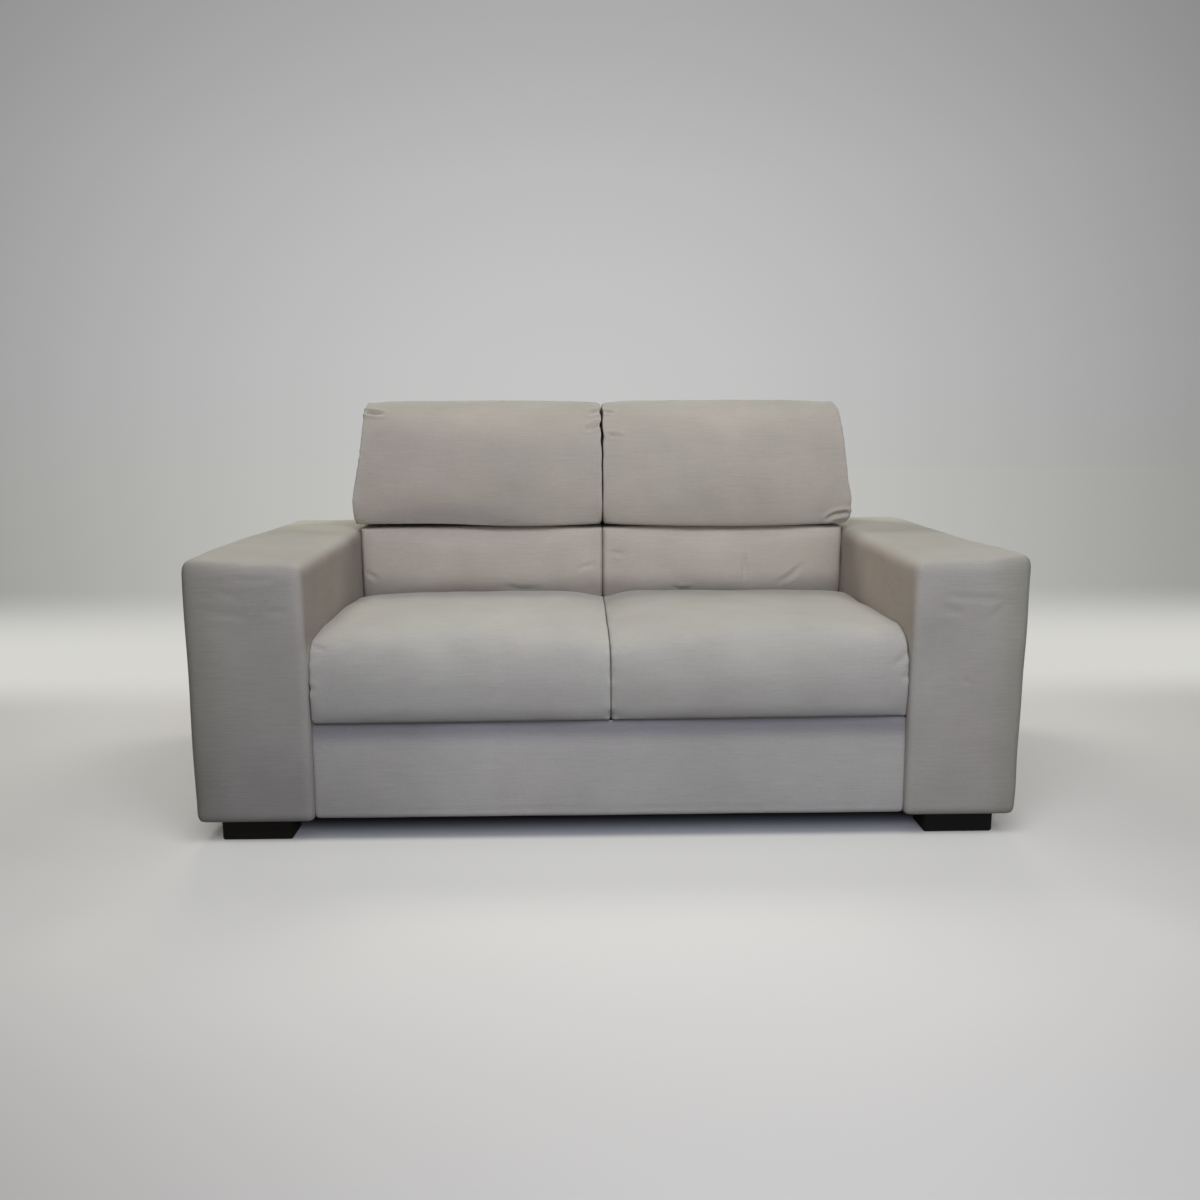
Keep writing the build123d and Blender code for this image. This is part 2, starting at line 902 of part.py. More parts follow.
with BuildPart() as lumbar_pocket:
    block(*grown(lumbar_foam_low, lumbar_foam_high))

with BuildPart() as lumbar_cushion:
    for share, y_share, z_share in lumbar_section_shares:
        with BuildSketch(Plane.YZ.offset(module_x(share))):
            section_face(lumbar_outline, lumbar_middle, y_share, z_share, lumbar_base)
    loft(ruled=True)
    add(lumbar_pocket.part, mode=Mode.SUBTRACT)
save_pair(lumbar_cushion.part, "lumbar_cushion")

# Hinge plates: the fixed plate is screwed to a rib and has an arc slot for the stop
# pin of the moving plate, which is screwed to the head rest's frame
def around_pivot(radius, angle):
    """A point at a distance and an angle from the hinge pivot, in the side view."""
    turn = math.radians(angle)
    return (pivot_y + radius * math.cos(turn), pivot_height + radius * math.sin(turn))


def stop_slot():
    """The arc slot that the stop pin travels, as wide as the pin and its clearance.

    The head rest turns its pin towards the rear and down as it tilts back."""
    end_angle = stop_start_angle - tilt_range
    half_slot = stop_pin_radius + stop_slot_clearance
    middle_angle = (stop_start_angle + end_angle) / 2
    inner = stop_slot_radius - half_slot
    outer = stop_slot_radius + half_slot
    with BuildLine() as outline:
        ThreePointArc(
            around_pivot(inner, end_angle),
            around_pivot(inner, middle_angle),
            around_pivot(inner, stop_start_angle),
        )
        ThreePointArc(
            around_pivot(outer, end_angle),
            around_pivot(outer, middle_angle),
            around_pivot(outer, stop_start_angle),
        )
        Line(around_pivot(inner, end_angle), around_pivot(outer, end_angle))
        Line(
            around_pivot(inner, stop_start_angle),
            around_pivot(outer, stop_start_angle),
        )
    make_face(outline.edges(), mode=Mode.SUBTRACT)
    for angle in (end_angle, stop_start_angle):
        with Locations(around_pivot(stop_slot_radius, angle)):
            Circle(half_slot, mode=Mode.SUBTRACT)


with BuildPart() as fixed_plates_right:
    for seat_x, stack in hinge_seats:
        with BuildSketch(Plane.YZ.offset(seat_x)):
            with Locations(hinge_pivot):
                Circle(hinge_boss_radius)
            with Locations((pivot_y, pivot_height - fixed_plate_length / 2)):
                Rectangle(hinge_plate_width, fixed_plate_length)
            with Locations(hinge_pivot):
                Circle(hinge_pin_radius + pivot_running_clearance, mode=Mode.SUBTRACT)
            with Locations(*fixed_screw_places):
                Circle(screw_radius + screw_clearance, mode=Mode.SUBTRACT)
            stop_slot()
        extrude(amount=stack * plate_thickness)
with BuildPart() as hinge_fixed_plates:
    add(fixed_plates_right.part)
    mirror(fixed_plates_right.part, about=Plane.YZ)
save(hinge_fixed_plates.part, "hinge_fixed_plates")

with BuildPart() as moving_plates:
    for seat_x, stack in hinge_seats:
        plate_x = seat_x + stack * (plate_thickness + hinge_plate_gap)
        with BuildSketch(Plane.YZ.offset(plate_x)):
            with Locations(hinge_pivot):
                Circle(hinge_boss_radius)
            with Locations((pivot_y, pivot_height + moving_plate_length / 2)):
                Rectangle(hinge_plate_width, moving_plate_length)
            with Locations(hinge_pivot):
                Circle(hinge_pin_radius + pivot_running_clearance, mode=Mode.SUBTRACT)
            with Locations(*moving_screw_places):
                Circle(screw_radius + screw_clearance, mode=Mode.SUBTRACT)
        extrude(amount=stack * plate_thickness)
        with BuildSketch(Plane.YZ.offset(plate_x)):
            with Locations(around_pivot(stop_slot_radius, stop_start_angle)):
                Circle(stop_pin_radius)
        extrude(amount=-stack * (hinge_plate_gap + plate_thickness))
save_pair(moving_plates.part, "hinge_arms")

with BuildPart() as pivots_right:
    for seat_x, stack in hinge_seats:
        with BuildSketch(Plane.YZ.offset(seat_x)):
            with Locations(hinge_pivot):
                Circle(hinge_pin_radius)
        extrude(amount=stack * (plate_stack + pivot_head_gap))
        with BuildSketch(Plane.YZ.offset(seat_x)):
            with Locations(hinge_pivot):
                Circle(pivot_head_radius)
        extrude(amount=-stack * pivot_head_height)
        with BuildSketch(
            Plane.YZ.offset(seat_x + stack * (plate_stack + pivot_head_gap))
        ):
            with Locations(hinge_pivot):
                Circle(pivot_head_radius)
        extrude(amount=stack * pivot_head_height)
with BuildPart() as hinge_pivots:
    add(pivots_right.part)
    mirror(pivots_right.part, about=Plane.YZ)
save(hinge_pivots.part, "hinge_pivots")


def plate_screws(places, face_x, stack):
    """Pan-head screws through a plate, whose outer face is at face_x."""
    with BuildSketch(Plane.YZ.offset(face_x)) as heads:
        with Locations(*places):
            Circle(hinge_head_radius)
    extrude(heads.sketch, amount=stack * hinge_head_height)
    with BuildSketch(Plane.YZ.offset(face_x)) as shanks:
        with Locations(*places):
            Circle(screw_radius)
    extrude(shanks.sketch, amount=-stack * hinge_screw_length)


with BuildPart() as rib_screws_right:
    for seat_x, stack in hinge_seats:
        plate_screws(fixed_screw_places, seat_x + stack * plate_thickness, stack)
with BuildPart() as hinge_screws:
    add(rib_screws_right.part)
    mirror(rib_screws_right.part, about=Plane.YZ)
save(hinge_screws.part, "hinge_screws")

with BuildPart() as head_screws:
    for seat_x, stack in hinge_seats:
        plate_screws(
            moving_screw_places,
            seat_x + stack * (plate_thickness + hinge_plate_gap),
            -stack,
        )
save_pair(head_screws.part, "headrest_screws")

# Head rest: timber frame, foam block and a padded cover with a round heel that
# turns about the hinge pivots in the seat cut into the ribs
head_frame_depth = 40
head_frame_rise = 10
head_frame_height = 214
head_frame_bar = 26
head_window_count = 3
head_bulge_lead = 20
head_foam_margin = 86
head_foam_height = 240
head_foam_top_edge = 60
heel_side_gap = 8

head_front_y = lumbar_front_y - head_bulge_lead
head_foam_front_y = head_front_y + head_foam_margin
head_frame_base = pivot_height + head_frame_rise
head_frame_low_x = hinge_seats[0][0] + plate_stack
head_frame_high_x = hinge_seats[1][0] - plate_stack
head_frame_front_y = pivot_y - head_frame_depth / 2
head_frame_rear_y = pivot_y + head_frame_depth / 2
head_frame_top = head_frame_base + head_frame_height
head_frame_middle = (head_frame_low_x + head_frame_high_x) / 2
head_window_pitch = (
    head_frame_high_x - head_frame_low_x - head_frame_bar
) / head_window_count

with BuildPart() as headrest_frame:
    block(
        (head_frame_low_x, head_frame_front_y, head_frame_base),
        (head_frame_high_x, head_frame_rear_y, head_frame_top),
    )
    with BuildSketch(Plane.XZ.offset(-head_frame_rear_y)):
        with Locations((head_frame_middle, (head_frame_base + head_frame_top) / 2)):
            with GridLocations(head_window_pitch, 0, head_window_count, 1):
                Rectangle(
                    head_window_pitch - head_frame_bar,
                    head_frame_height - 2 * head_frame_bar,
                )
    extrude(amount=head_frame_depth, mode=Mode.SUBTRACT)
    for face_x, stack in (
        (head_frame_low_x, 1),
        (head_frame_high_x, -1),
    ):
        with BuildSketch(Plane.YZ.offset(face_x)):
            with Locations(*moving_screw_places):
                Circle(screw_radius + screw_clearance)
        extrude(amount=stack * hinge_screw_length, mode=Mode.SUBTRACT)
save_pair(headrest_frame.part, "headrest_frame")

head_foam_low = (head_frame_low_x, head_foam_front_y, head_frame_base)
head_foam_high = (
    head_frame_high_x,
    head_frame_front_y,
    head_frame_base + head_foam_height,
)

with BuildPart() as headrest_foam:
    block(head_foam_low, head_foam_high)
    top_edges = headrest_foam.edges().filter_by(Axis.X).group_by(Axis.Z)[-1]
    chamfer(top_edges.sort_by(Axis.Y)[0], head_foam_top_edge)
save_pair(headrest_foam.part, "headrest_foam")

# Side outline of the head rest, front tuck first, then up and over to the rear,
# where the lower corner is cut away to clear the arm as it tilts back
head_base = lumbar_top_height + heel_clearance
head_rear_y = pivot_y + heel_radius
head_depth = head_rear_y - head_front_y
head_height = head_top_height - head_base

# Shares of the head rest's depth, from its front, and of its height, from its base
head_outline_shares = [
    ("arc", [(0.177, 0), (0.041, 0.084), (0, 0.265)]),
    ("arc", [(0, 0.265), (0.071, 0.621), (0.286, 0.906)]),
    ("arc", [(0.286, 0.906), (0.442, 0.984), (0.646, 0.997)]),
    ("line", [(0.646, 0.997), (0.81, 0.99)]),
    ("arc", [(0.81, 0.99), (0.956, 0.948), (1, 0.828)]),
    ("line", [(1, 0.828), (1, 0.175)]),
    ("arc", [(1, 0.175), (0.949, 0.078), (0.864, 0)]),
    ("line", [(0.864, 0), (0.177, 0)]),
]
head_outline = [
    (
        kind,
        [
            (
                head_front_y + y_share * head_depth,
                head_base + z_share * head_height,
            )
            for y_share, z_share in points
        ],
    )
    for kind, points in head_outline_shares
]
head_middle = (head_front_y + head_depth / 2, head_base + head_height / 2)
head_overhang = 28
head_section_shares = [
    (0.0, 0.93, 0.96),
    (0.025, 0.965, 0.98),
    (0.1, 0.992, 0.995),
    (0.28, 1.0, 1.0),
    (0.5, 1.0, 1.0),
    (0.72, 1.0, 1.0),
    (0.9, 0.988, 0.99),
    (0.96, 0.955, 0.965),
    (0.988, 0.9, 0.92),
    (1.0, 0.82, 0.85),
]


def head_x(share):
    """Where a share of the head rest's width lies; it overhangs the arm outside."""
    return module_gap + share * (module_width + head_overhang - 2 * module_gap)


notch_front_y = pivot_y - hinge_boss_radius - heel_clearance
notch_top_z = pivot_height + hinge_boss_radius + heel_clearance

with BuildPart() as head_pocket:
    block(
        (
            hinge_seats[0][0],
            head_frame_front_y,
            head_frame_base - soft_clearance,
        ),
        (
            hinge_seats[1][0],
            head_frame_rear_y + soft_clearance,
            head_frame_top + soft_clearance,
        ),
    )
    block(
        (
            head_frame_low_x - soft_clearance,
            head_foam_front_y - soft_clearance,
            head_frame_base - soft_clearance,
        ),
        (
            head_frame_high_x + soft_clearance,
            head_frame_front_y,
            head_frame_base + head_foam_height + soft_clearance,
        ),
    )
    for seat_x, stack in hinge_seats:
        notch_ends = [
            seat_x - stack * heel_clearance,
            seat_x + stack * (plate_stack + heel_clearance),
        ]
        block(
            (min(notch_ends), notch_front_y, pivot_height - heel_radius - overrun),
            (max(notch_ends), head_rear_y + overrun, notch_top_z),
        )

with BuildPart() as headrest_cushion:
    for share, y_share, z_share in head_section_shares:
        with BuildSketch(Plane.YZ.offset(head_x(share))):
            section_face(head_outline, head_middle, y_share, z_share, head_base)
    loft(ruled=True)
    with BuildSketch(Plane.YZ.offset(heel_side_gap)):
        with Locations(hinge_pivot):
            Circle(heel_radius)
    extrude(amount=module_width - 2 * heel_side_gap)
    add(head_pocket.part, mode=Mode.SUBTRACT)
save_pair(headrest_cushion.part, "headrest_cushion")
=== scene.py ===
"""Two-seater sofa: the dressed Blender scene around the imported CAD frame."""

import json
import math

import bmesh
import bpy
import numpy as np
from mathutils import Matrix, Vector


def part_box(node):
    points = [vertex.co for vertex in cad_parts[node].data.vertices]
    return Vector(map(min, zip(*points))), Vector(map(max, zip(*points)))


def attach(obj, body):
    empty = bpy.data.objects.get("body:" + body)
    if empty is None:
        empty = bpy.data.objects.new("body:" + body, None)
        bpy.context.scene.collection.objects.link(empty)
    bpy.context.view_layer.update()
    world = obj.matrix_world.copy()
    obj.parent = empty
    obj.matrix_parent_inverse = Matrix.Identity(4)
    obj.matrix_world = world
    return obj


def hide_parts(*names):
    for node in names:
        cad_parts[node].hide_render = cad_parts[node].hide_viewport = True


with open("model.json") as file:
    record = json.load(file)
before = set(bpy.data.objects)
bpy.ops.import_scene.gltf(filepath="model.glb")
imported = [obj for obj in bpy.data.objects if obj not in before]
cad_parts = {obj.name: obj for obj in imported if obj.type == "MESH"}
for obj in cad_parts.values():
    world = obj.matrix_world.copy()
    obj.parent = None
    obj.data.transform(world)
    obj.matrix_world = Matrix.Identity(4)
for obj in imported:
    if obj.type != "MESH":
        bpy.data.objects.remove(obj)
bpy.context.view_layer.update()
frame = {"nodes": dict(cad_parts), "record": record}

base_body = "base"
sides = {"left": -1, "right": 1}


# Camera, solved from the sofa's straight edges in the photograph
image_size = 1200
focal_pixels = 1106.92
sensor_width = 36.0
camera_place = Vector((-0.0746, -2.5842, 0.8687))
camera_yaw = math.radians(1.4253)
camera_pitch = math.radians(9.7679)
camera_roll = math.radians(-0.1357)


def make_camera():
    """The photograph's viewpoint, looking slightly down at the sofa."""
    forward = Vector(
        (
            math.sin(camera_yaw) * math.cos(camera_pitch),
            math.cos(camera_yaw) * math.cos(camera_pitch),
            -math.sin(camera_pitch),
        )
    )
    level_right = Vector((math.cos(camera_yaw), -math.sin(camera_yaw), 0.0))
    level_up = level_right.cross(forward)
    right = math.cos(camera_roll) * level_right + math.sin(camera_roll) * level_up
    up = -math.sin(camera_roll) * level_right + math.cos(camera_roll) * level_up
    turn = Matrix((right, up, -forward)).transposed().to_4x4()
    data = bpy.data.cameras.new("camera")
    data.sensor_width = sensor_width
    data.lens = focal_pixels / image_size * sensor_width
    camera = bpy.data.objects.new("camera", data)
    camera.matrix_world = Matrix.Translation(camera_place) @ turn
    bpy.context.collection.objects.link(camera)
    bpy.context.scene.camera = camera


# Nodes of a material, made by one short call each
def add_node(tree, kind, values=(), **settings):
    """Adds a node, sets its properties, then sets or links its inputs."""
    node = tree.nodes.new(kind)
    for name, value in settings.items():
        setattr(node, name, value)
    for name, value in dict(values).items():
        if isinstance(value, bpy.types.NodeSocket):
            tree.links.new(value, node.inputs[name])
        else:
            node.inputs[name].default_value = value
    return node


def calculate(tree, operation, first, second=0.0, third=0.0):
    """One Math node."""
    values = {0: first, 1: second, 2: third}
    return add_node(tree, "ShaderNodeMath", values, operation=operation).outputs[0]


def product(tree, first, *others):
    """The values multiplied together."""
    for other in others:
        first = calculate(tree, "MULTIPLY", first, other)
    return first


def weighted(tree, *pairs):
    """The sum of (value, weight) pairs."""
    total = 0.0
    for value, weight in pairs:
        total = calculate(tree, "MULTIPLY_ADD", value, weight, total)
    return total


def calculate_vector(tree, operation, *values):
    """One Vector Math node."""
    values = dict(enumerate(values))
    return add_node(tree, "ShaderNodeVectorMath", values, operation=operation).outputs[0]


def split_axes(tree, vector):
    """The x, y and z of a vector."""
    return add_node(tree, "ShaderNodeSeparateXYZ", {0: vector}).outputs


def blend_colours(tree, factor, first, second, mode="MIX"):
    """One colour Mix node."""
    values = {0: factor, 6: first, 7: second}
    return add_node(tree, "ShaderNodeMix", values, data_type="RGBA", blend_type=mode).outputs[2]


def toned(tree, colour, tone, factor=1.0):
    """The colour times a tone, as far as the factor says."""
    return blend_colours(tree, factor, colour, tone, "MULTIPLY")


def grey(value):
    """A plain grey."""
    return (value, value, value, 1.0)


def colour_steps(tree, factor, steps):
    """A colour ramp through (place, colour or grey) steps."""
    node = add_node(tree, "ShaderNodeValToRGB", {0: factor})
    ramp = node.color_ramp
    while len(ramp.elements) < len(steps):
        ramp.elements.new(1.0)
    for element, (place, colour) in zip(ramp.elements, steps):
        element.position = place
        element.color = colour if isinstance(colour, tuple) else grey(colour)
    return node.outputs[0]


def steps_along(tree, place, low, high, steps):
    """Colour steps given in metres between two ends."""
    span = high - low
    share = calculate(tree, "MULTIPLY_ADD", place, 1 / span, -low / span)
    return colour_steps(tree, share, [((at - low) / span, colour) for at, colour in steps])


def eased(tree, value, start, full, low=0.0, high=1.0):
    """A smooth change from low at start to high at full."""
    values = {0: value, 1: start, 2: full, 3: low, 4: high}
    return add_node(tree, "ShaderNodeMapRange", values, interpolation_type="SMOOTHSTEP").outputs[0]


def noise(tree, coordinates, scale, detail=2.0, roughness=0.5):
    """A grey noise field, about 0 to 1. A scale of three numbers stretches it."""
    if isinstance(scale, tuple):
        coordinates = calculate_vector(tree, "MULTIPLY", coordinates, scale)
        scale = 1.0
    values = {"Vector": coordinates, "Scale": scale, "Detail": detail, "Roughness": roughness}
    return add_node(tree, "ShaderNodeTexNoise", values).outputs[0]


def cells(tree, coordinates, scale):
    """A Voronoi field's outputs."""
    return add_node(tree, "ShaderNodeTexVoronoi", {"Vector": coordinates, "Scale": scale}).outputs


def ribs(tree, place, pitch):
    """A sine wave along one axis, its pitch in metres."""
    return calculate(tree, "SINE", product(tree, place, 2 * math.pi / pitch))


def new_material(name):
    """A node material with its Principled shader, and object coordinates."""
    material = bpy.data.materials.new(name)
    material.use_nodes = True
    tree = material.node_tree
    coordinates = add_node(tree, "ShaderNodeTexCoord").outputs["Object"]
    return material, tree, tree.nodes["Principled BSDF"], coordinates


def dress(tree, shader, colour, roughness, height, strength, distance):
    """Gives the shader its colour, roughness and bump, the bump's distance in metres."""
    values = {"Height": height, "Strength": strength, "Distance": distance}
    tree.links.new(colour, shader.inputs["Base Color"])
    tree.links.new(add_node(tree, "ShaderNodeBump", values).outputs[0], shader.inputs["Normal"])
    if isinstance(roughness, bpy.types.NodeSocket):
        tree.links.new(roughness, shader.inputs["Roughness"])
    else:
        shader.inputs["Roughness"].default_value = roughness


# Upholstery cloth: each group has its own tint, painted light which makes the one cloth a touch warmer or
# cooler, lighter or darker, as the light on that group does
cloth_tones = [(0.381, 0.364, 0.327), (0.447, 0.429, 0.387), (0.514, 0.496, 0.450)]
cloth_light_tints = {
    "arms": (0.908, 0.930, 0.926),
    "apron": (1.027, 1.071, 1.105),
    "seats": (1.026, 1.062, 1.083),
    "backs": (1.058, 1.029, 1.002),
    "rear": (0.945, 0.955, 0.945),
}
thread_pitch = 0.0022
slub_fine = 420.0
slub_long = 16.0
# Slow clouds of a pinker and a greener tone
cloud_warm = (1.012, 0.995, 1.0, 1.0)
cloud_cool = (0.988, 1.0, 0.995, 1.0)
# Arms: painted shade makes the inner sides a little darker and browner above the seats
inner_shade_tone_left = (0.70, 0.645, 0.61, 1.0)
inner_shade_tone_right = (0.95, 0.85, 0.80, 1.0)
inner_shade_x = (0.625, 0.603)
inner_shade_y = (0.40, 0.30)
inner_shade_z = (0.38, 0.43)
# painted shade makes their outer front edges, and the left arm low down, darker, which fades rearwards
edge_shade_tone = (0.82, 0.83, 0.77, 1.0)
edge_shade_x = (0.735, 0.830)
low_shade_tone = (0.83, 0.83, 0.85, 1.0)
low_shade_z = (0.42, 0.10)
fore_y = (0.10, -0.38)
# and painted light makes their tops paler towards the rear
top_light_tone = (1.15, 1.14, 1.10, 1.0)
top_light_y = (-0.10, 0.30)
# Backs: painted light makes the lumbar cushions lighter above, and painted shade makes them darker at
# their foot
lumbar_lit_tone = (1.12, 1.11, 1.10, 1.0)
lumbar_foot_shade_tone = (0.74, 0.75, 0.75, 1.0)
lumbar_foot_shade_z = (0.420, 0.478)
lumbar_top_edge_z = (0.590, 0.574)
# painted shade makes the head rests darker on top, and in an oval undercut low on the left one
crown_shade_tone = (0.86, 0.90, 0.92, 1.0)
crown_shade_z = (0.850, 0.888)
undercut_shade_tone = (0.78, 0.81, 0.88, 1.0)
undercut_middle = (-0.37, 0.598)
undercut_size = (0.21, 0.042)
undercut_reach = (1.3, 0.3)
# Apron: a painted shadow under the seats, and painted light and shade along its width as (x, share) steps
shaded_tone = (0.63, 0.63, 0.71, 1.0)
shaded_z = (0.200, 0.240)
apron_half = 0.6
apron_light_steps = [(-0.58, 0.90), (-0.42, 0.96), (-0.24, 1.14), (-0.06, 1.03), (0.10, 1.0)]
# Seats: painted shade at their foot, painted light towards the rear, and the right one a shade darker
seat_foot_shade_tone = (0.78, 0.78, 0.80, 1.0)
seat_foot_shade_z = (0.292, 0.262)
seat_rear_light_tone_left = (1.25, 1.25, 1.25, 1.0)
seat_rear_light_tone_right = (1.21, 1.21, 1.18, 1.0)
seat_rear_light_y = (-0.14, 0.04)
seat_right_tone = (0.93, 0.93, 0.925, 1.0)


def tone_arms(tree, colour, place, facing, on_right):
    """Painted shade on the arms' inner sides, outer edges and foot, and painted light on their tops."""
    off_centre = calculate(tree, "ABSOLUTE", place[0])
    fore = eased(tree, place[1], *fore_y)
    not_side = calculate(tree, "SUBTRACT", 1.0, facing[0])
    not_top = calculate(tree, "SUBTRACT", 1.0, facing[2])
    # Painted shade on the inner sides, above the seats
    inner_shade = [eased(tree, place[1], *inner_shade_y), eased(tree, place[2], *inner_shade_z)]
    inner_shade = product(tree, facing[0], *inner_shade, eased(tree, off_centre, *inner_shade_x))
    inner_shade_tone = blend_colours(tree, on_right, inner_shade_tone_left, inner_shade_tone_right)
    colour = toned(tree, colour, inner_shade_tone, inner_shade)
    # Painted shade on the outer front edges
    outside = product(tree, eased(tree, off_centre, *edge_shade_x), fore, not_side, not_top)
    colour = toned(tree, colour, edge_shade_tone, outside)
    # Painted shade low down on the left arm
    on_left = calculate(tree, "SUBTRACT", 1.0, on_right)
    colour = toned(tree, colour, low_shade_tone, product(tree, eased(tree, place[2], *low_shade_z), fore, on_left))
    # Painted light on the tops, towards the rear
    return toned(tree, colour, top_light_tone, product(tree, eased(tree, place[1], *top_light_y), facing[2]))


def tone_backs(tree, colour, place, facing, on_right):
    """Painted shade on the head rests' crowns and undercut, and painted light and shade on the lumbar
    cushions.
    """
    # Painted shade on the head rests' crowns
    colour = toned(tree, colour, crown_shade_tone, eased(tree, place[2], *crown_shade_z))
    # Painted light above, and painted shade at the foot, of the lumbar cushions
    lifted = eased(tree, place[2], *lumbar_foot_shade_z)
    lumbar_light_tone = blend_colours(tree, lifted, lumbar_foot_shade_tone, lumbar_lit_tone)
    colour = toned(tree, colour, lumbar_light_tone, eased(tree, place[2], *lumbar_top_edge_z))
    # Painted shade in the oval undercut low on the left head rest
    aside, up = (
        calculate(tree, "DIVIDE", calculate(tree, "SUBTRACT", place[axis], middle), size)
        for axis, middle, size in zip((0, 2), undercut_middle, undercut_size)
    )
    away = calculate(tree, "SQRT", weighted(tree, (aside, aside), (up, up)))
    return toned(tree, colour, undercut_shade_tone, product(tree, eased(tree, away, *undercut_reach), facing[1]))


def tone_apron(tree, colour, place, facing, on_right):
    """The painted shadow under the seats, and painted light and shade along the apron's width."""
    # Painted shadow under the seats
    colour = toned(tree, colour, shaded_tone, eased(tree, place[2], *shaded_z))
    # Painted light and shade along the apron's width
    return toned(tree, colour, steps_along(tree, place[0], -apron_half, apron_half, apron_light_steps))


def tone_seats(tree, colour, place, facing, on_right):
    """The seats' painted shade at their foot and painted light towards the rear, and the right one's
    darker shade.
    """
    # Painted shade at the seats' foot
    colour = toned(tree, colour, seat_foot_shade_tone, eased(tree, place[2], *seat_foot_shade_z))
    # Painted light towards the seats' rear
    rear_light_tone = blend_colours(tree, on_right, seat_rear_light_tone_left, seat_rear_light_tone_right)
    colour = toned(tree, colour, rear_light_tone, eased(tree, place[1], *seat_rear_light_y))
    return toned(tree, colour, seat_right_tone, on_right)


# The painted light and shade of each group
group_toners = {"arms": tone_arms, "backs": tone_backs, "apron": tone_apron, "seats": tone_seats}


def make_cloth_material(group):
    """A matt flat weave with slubs along the width and soft patches of tone, and its group's painted light
    and shade.
    """
    material, tree, shader, coordinates = new_material("cloth_" + group)
    # The group's tint, painted light
    tint = np.array(cloth_light_tints[group])
    dark, plain, light = ((*(np.array(tone) * tint).tolist(), 1.0) for tone in cloth_tones)
    normal = add_node(tree, "ShaderNodeTexCoord").outputs["Normal"]
    facing = [
        calculate(tree, "POWER", calculate(tree, "ABSOLUTE", share), 3.0)
        for share in split_axes(tree, normal)
    ]
    place = split_axes(tree, coordinates)
    threads = [ribs(tree, value, thread_pitch) for value in place]
    crossings = [product(tree, threads[axis - 2], threads[axis - 1]) for axis in range(3)]
    weave = weighted(tree, *zip(crossings, facing))
    along_width = noise(tree, coordinates, (slub_long, slub_fine, slub_fine), 3.0, 0.65)
    along_depth = noise(tree, coordinates, (slub_fine, slub_long, slub_fine), 3.0, 0.65)
    slubs = blend_colours(tree, facing[0], along_width, along_depth)
    speckle = noise(tree, coordinates, 330.0, 2.0, 0.7)
    patches = noise(tree, coordinates, 7.0, 4.0, 0.55)
    tone = weighted(tree, (slubs, 0.36), (speckle, 0.30), (patches, 0.34), (weave, 0.035))
    colour = colour_steps(tree, tone, [(0.30, dark), (0.50, plain), (0.70, light)])
    clouds = noise(tree, coordinates, 4.5, 3.0, 0.6)
    colour = toned(tree, colour, colour_steps(tree, clouds, [(0.35, cloud_warm), (0.65, cloud_cool)]))
    if group in group_toners:
        on_right = calculate(tree, "GREATER_THAN", place[0], 0.0)
        colour = group_toners[group](tree, colour, place, facing, on_right)
    height = weighted(tree, (weave, 0.30), (slubs, 0.9), (speckle, 0.5))
    roughness = calculate(tree, "MULTIPLY_ADD", speckle, 0.12, 0.86)
    dress(tree, shader, colour, roughness, height, 0.35, 0.0011)
    shader.inputs["Sheen Weight"].default_value = 0.12
    shader.inputs["Sheen Roughness"].default_value = 0.45
    shader.inputs["Specular IOR Level"].default_value = 0.12
    return material


def make_foam_material():
    """Open-cell foam: fine pores and a slight yellowing."""
    material, tree, shader, coordinates = new_material("open_cell_foam")
    pores = cells(tree, coordinates, 700.0)["Distance"]
    patches = noise(tree, coordinates, 9.0, 3.0)
    skin = colour_steps(tree, patches, [(0.3, (0.80, 0.74, 0.52, 1)), (0.7, (0.88, 0.84, 0.68, 1))])
    pore_share = calculate(tree, "MULTIPLY", pores, 0.5)
    colour = blend_colours(tree, pore_share, (0.6, 0.54, 0.36, 1), skin)
    dress(tree, shader, colour, 0.95, pores, 0.6, 0.0012)
    return material


def make_board_material(name, dark, light, flake_scale):
    """Pressed board: flakes or fibres of two tones."""
    material, tree, shader, coordinates = new_material(name)
    flakes = cells(tree, coordinates, flake_scale)["Color"]
    flake_tone = add_node(tree, "ShaderNodeSeparateColor", {0: flakes}).outputs[0]
    fibres = noise(tree, coordinates, 240.0, 4.0)
    tone = weighted(tree, (flake_tone, 0.6), (fibres, 0.4))
    colour = colour_steps(tree, tone, [(0.2, dark), (0.8, light)])
    dress(tree, shader, colour, 0.82, tone, 0.3, 0.0006)
    return material


def make_wood_material(name, dark, light, roughness, gloss):
    """Sawn timber: stretched growth rings, fine grain and pores."""
    material, tree, shader, coordinates = new_material(name)
    bend = noise(tree, coordinates, (2.0, 9.0, 9.0), 3.0)
    grain_place = calculate_vector(tree, "MULTIPLY_ADD", coordinates, (2.5, 34.0, 34.0), bend)
    values = {"Vector": grain_place, "Scale": 0.9, "Distortion": 3.5, "Detail": 2.0}
    settings = {"wave_type": "RINGS", "rings_direction": "X"}
    rings = add_node(tree, "ShaderNodeTexWave", values, **settings).outputs["Fac"]
    pores = noise(tree, coordinates, (18.0, 520.0, 520.0), 3.0)
    tone = weighted(tree, (rings, 0.55), (pores, 0.45))
    colour = colour_steps(tree, tone, [(0.15, dark), (0.85, light)])
    roughness = calculate(tree, "MULTIPLY_ADD", pores, 0.15, roughness)
    dress(tree, shader, colour, roughness, tone, 0.25, 0.0004)
    shader.inputs["Specular IOR Level"].default_value = gloss
    return material


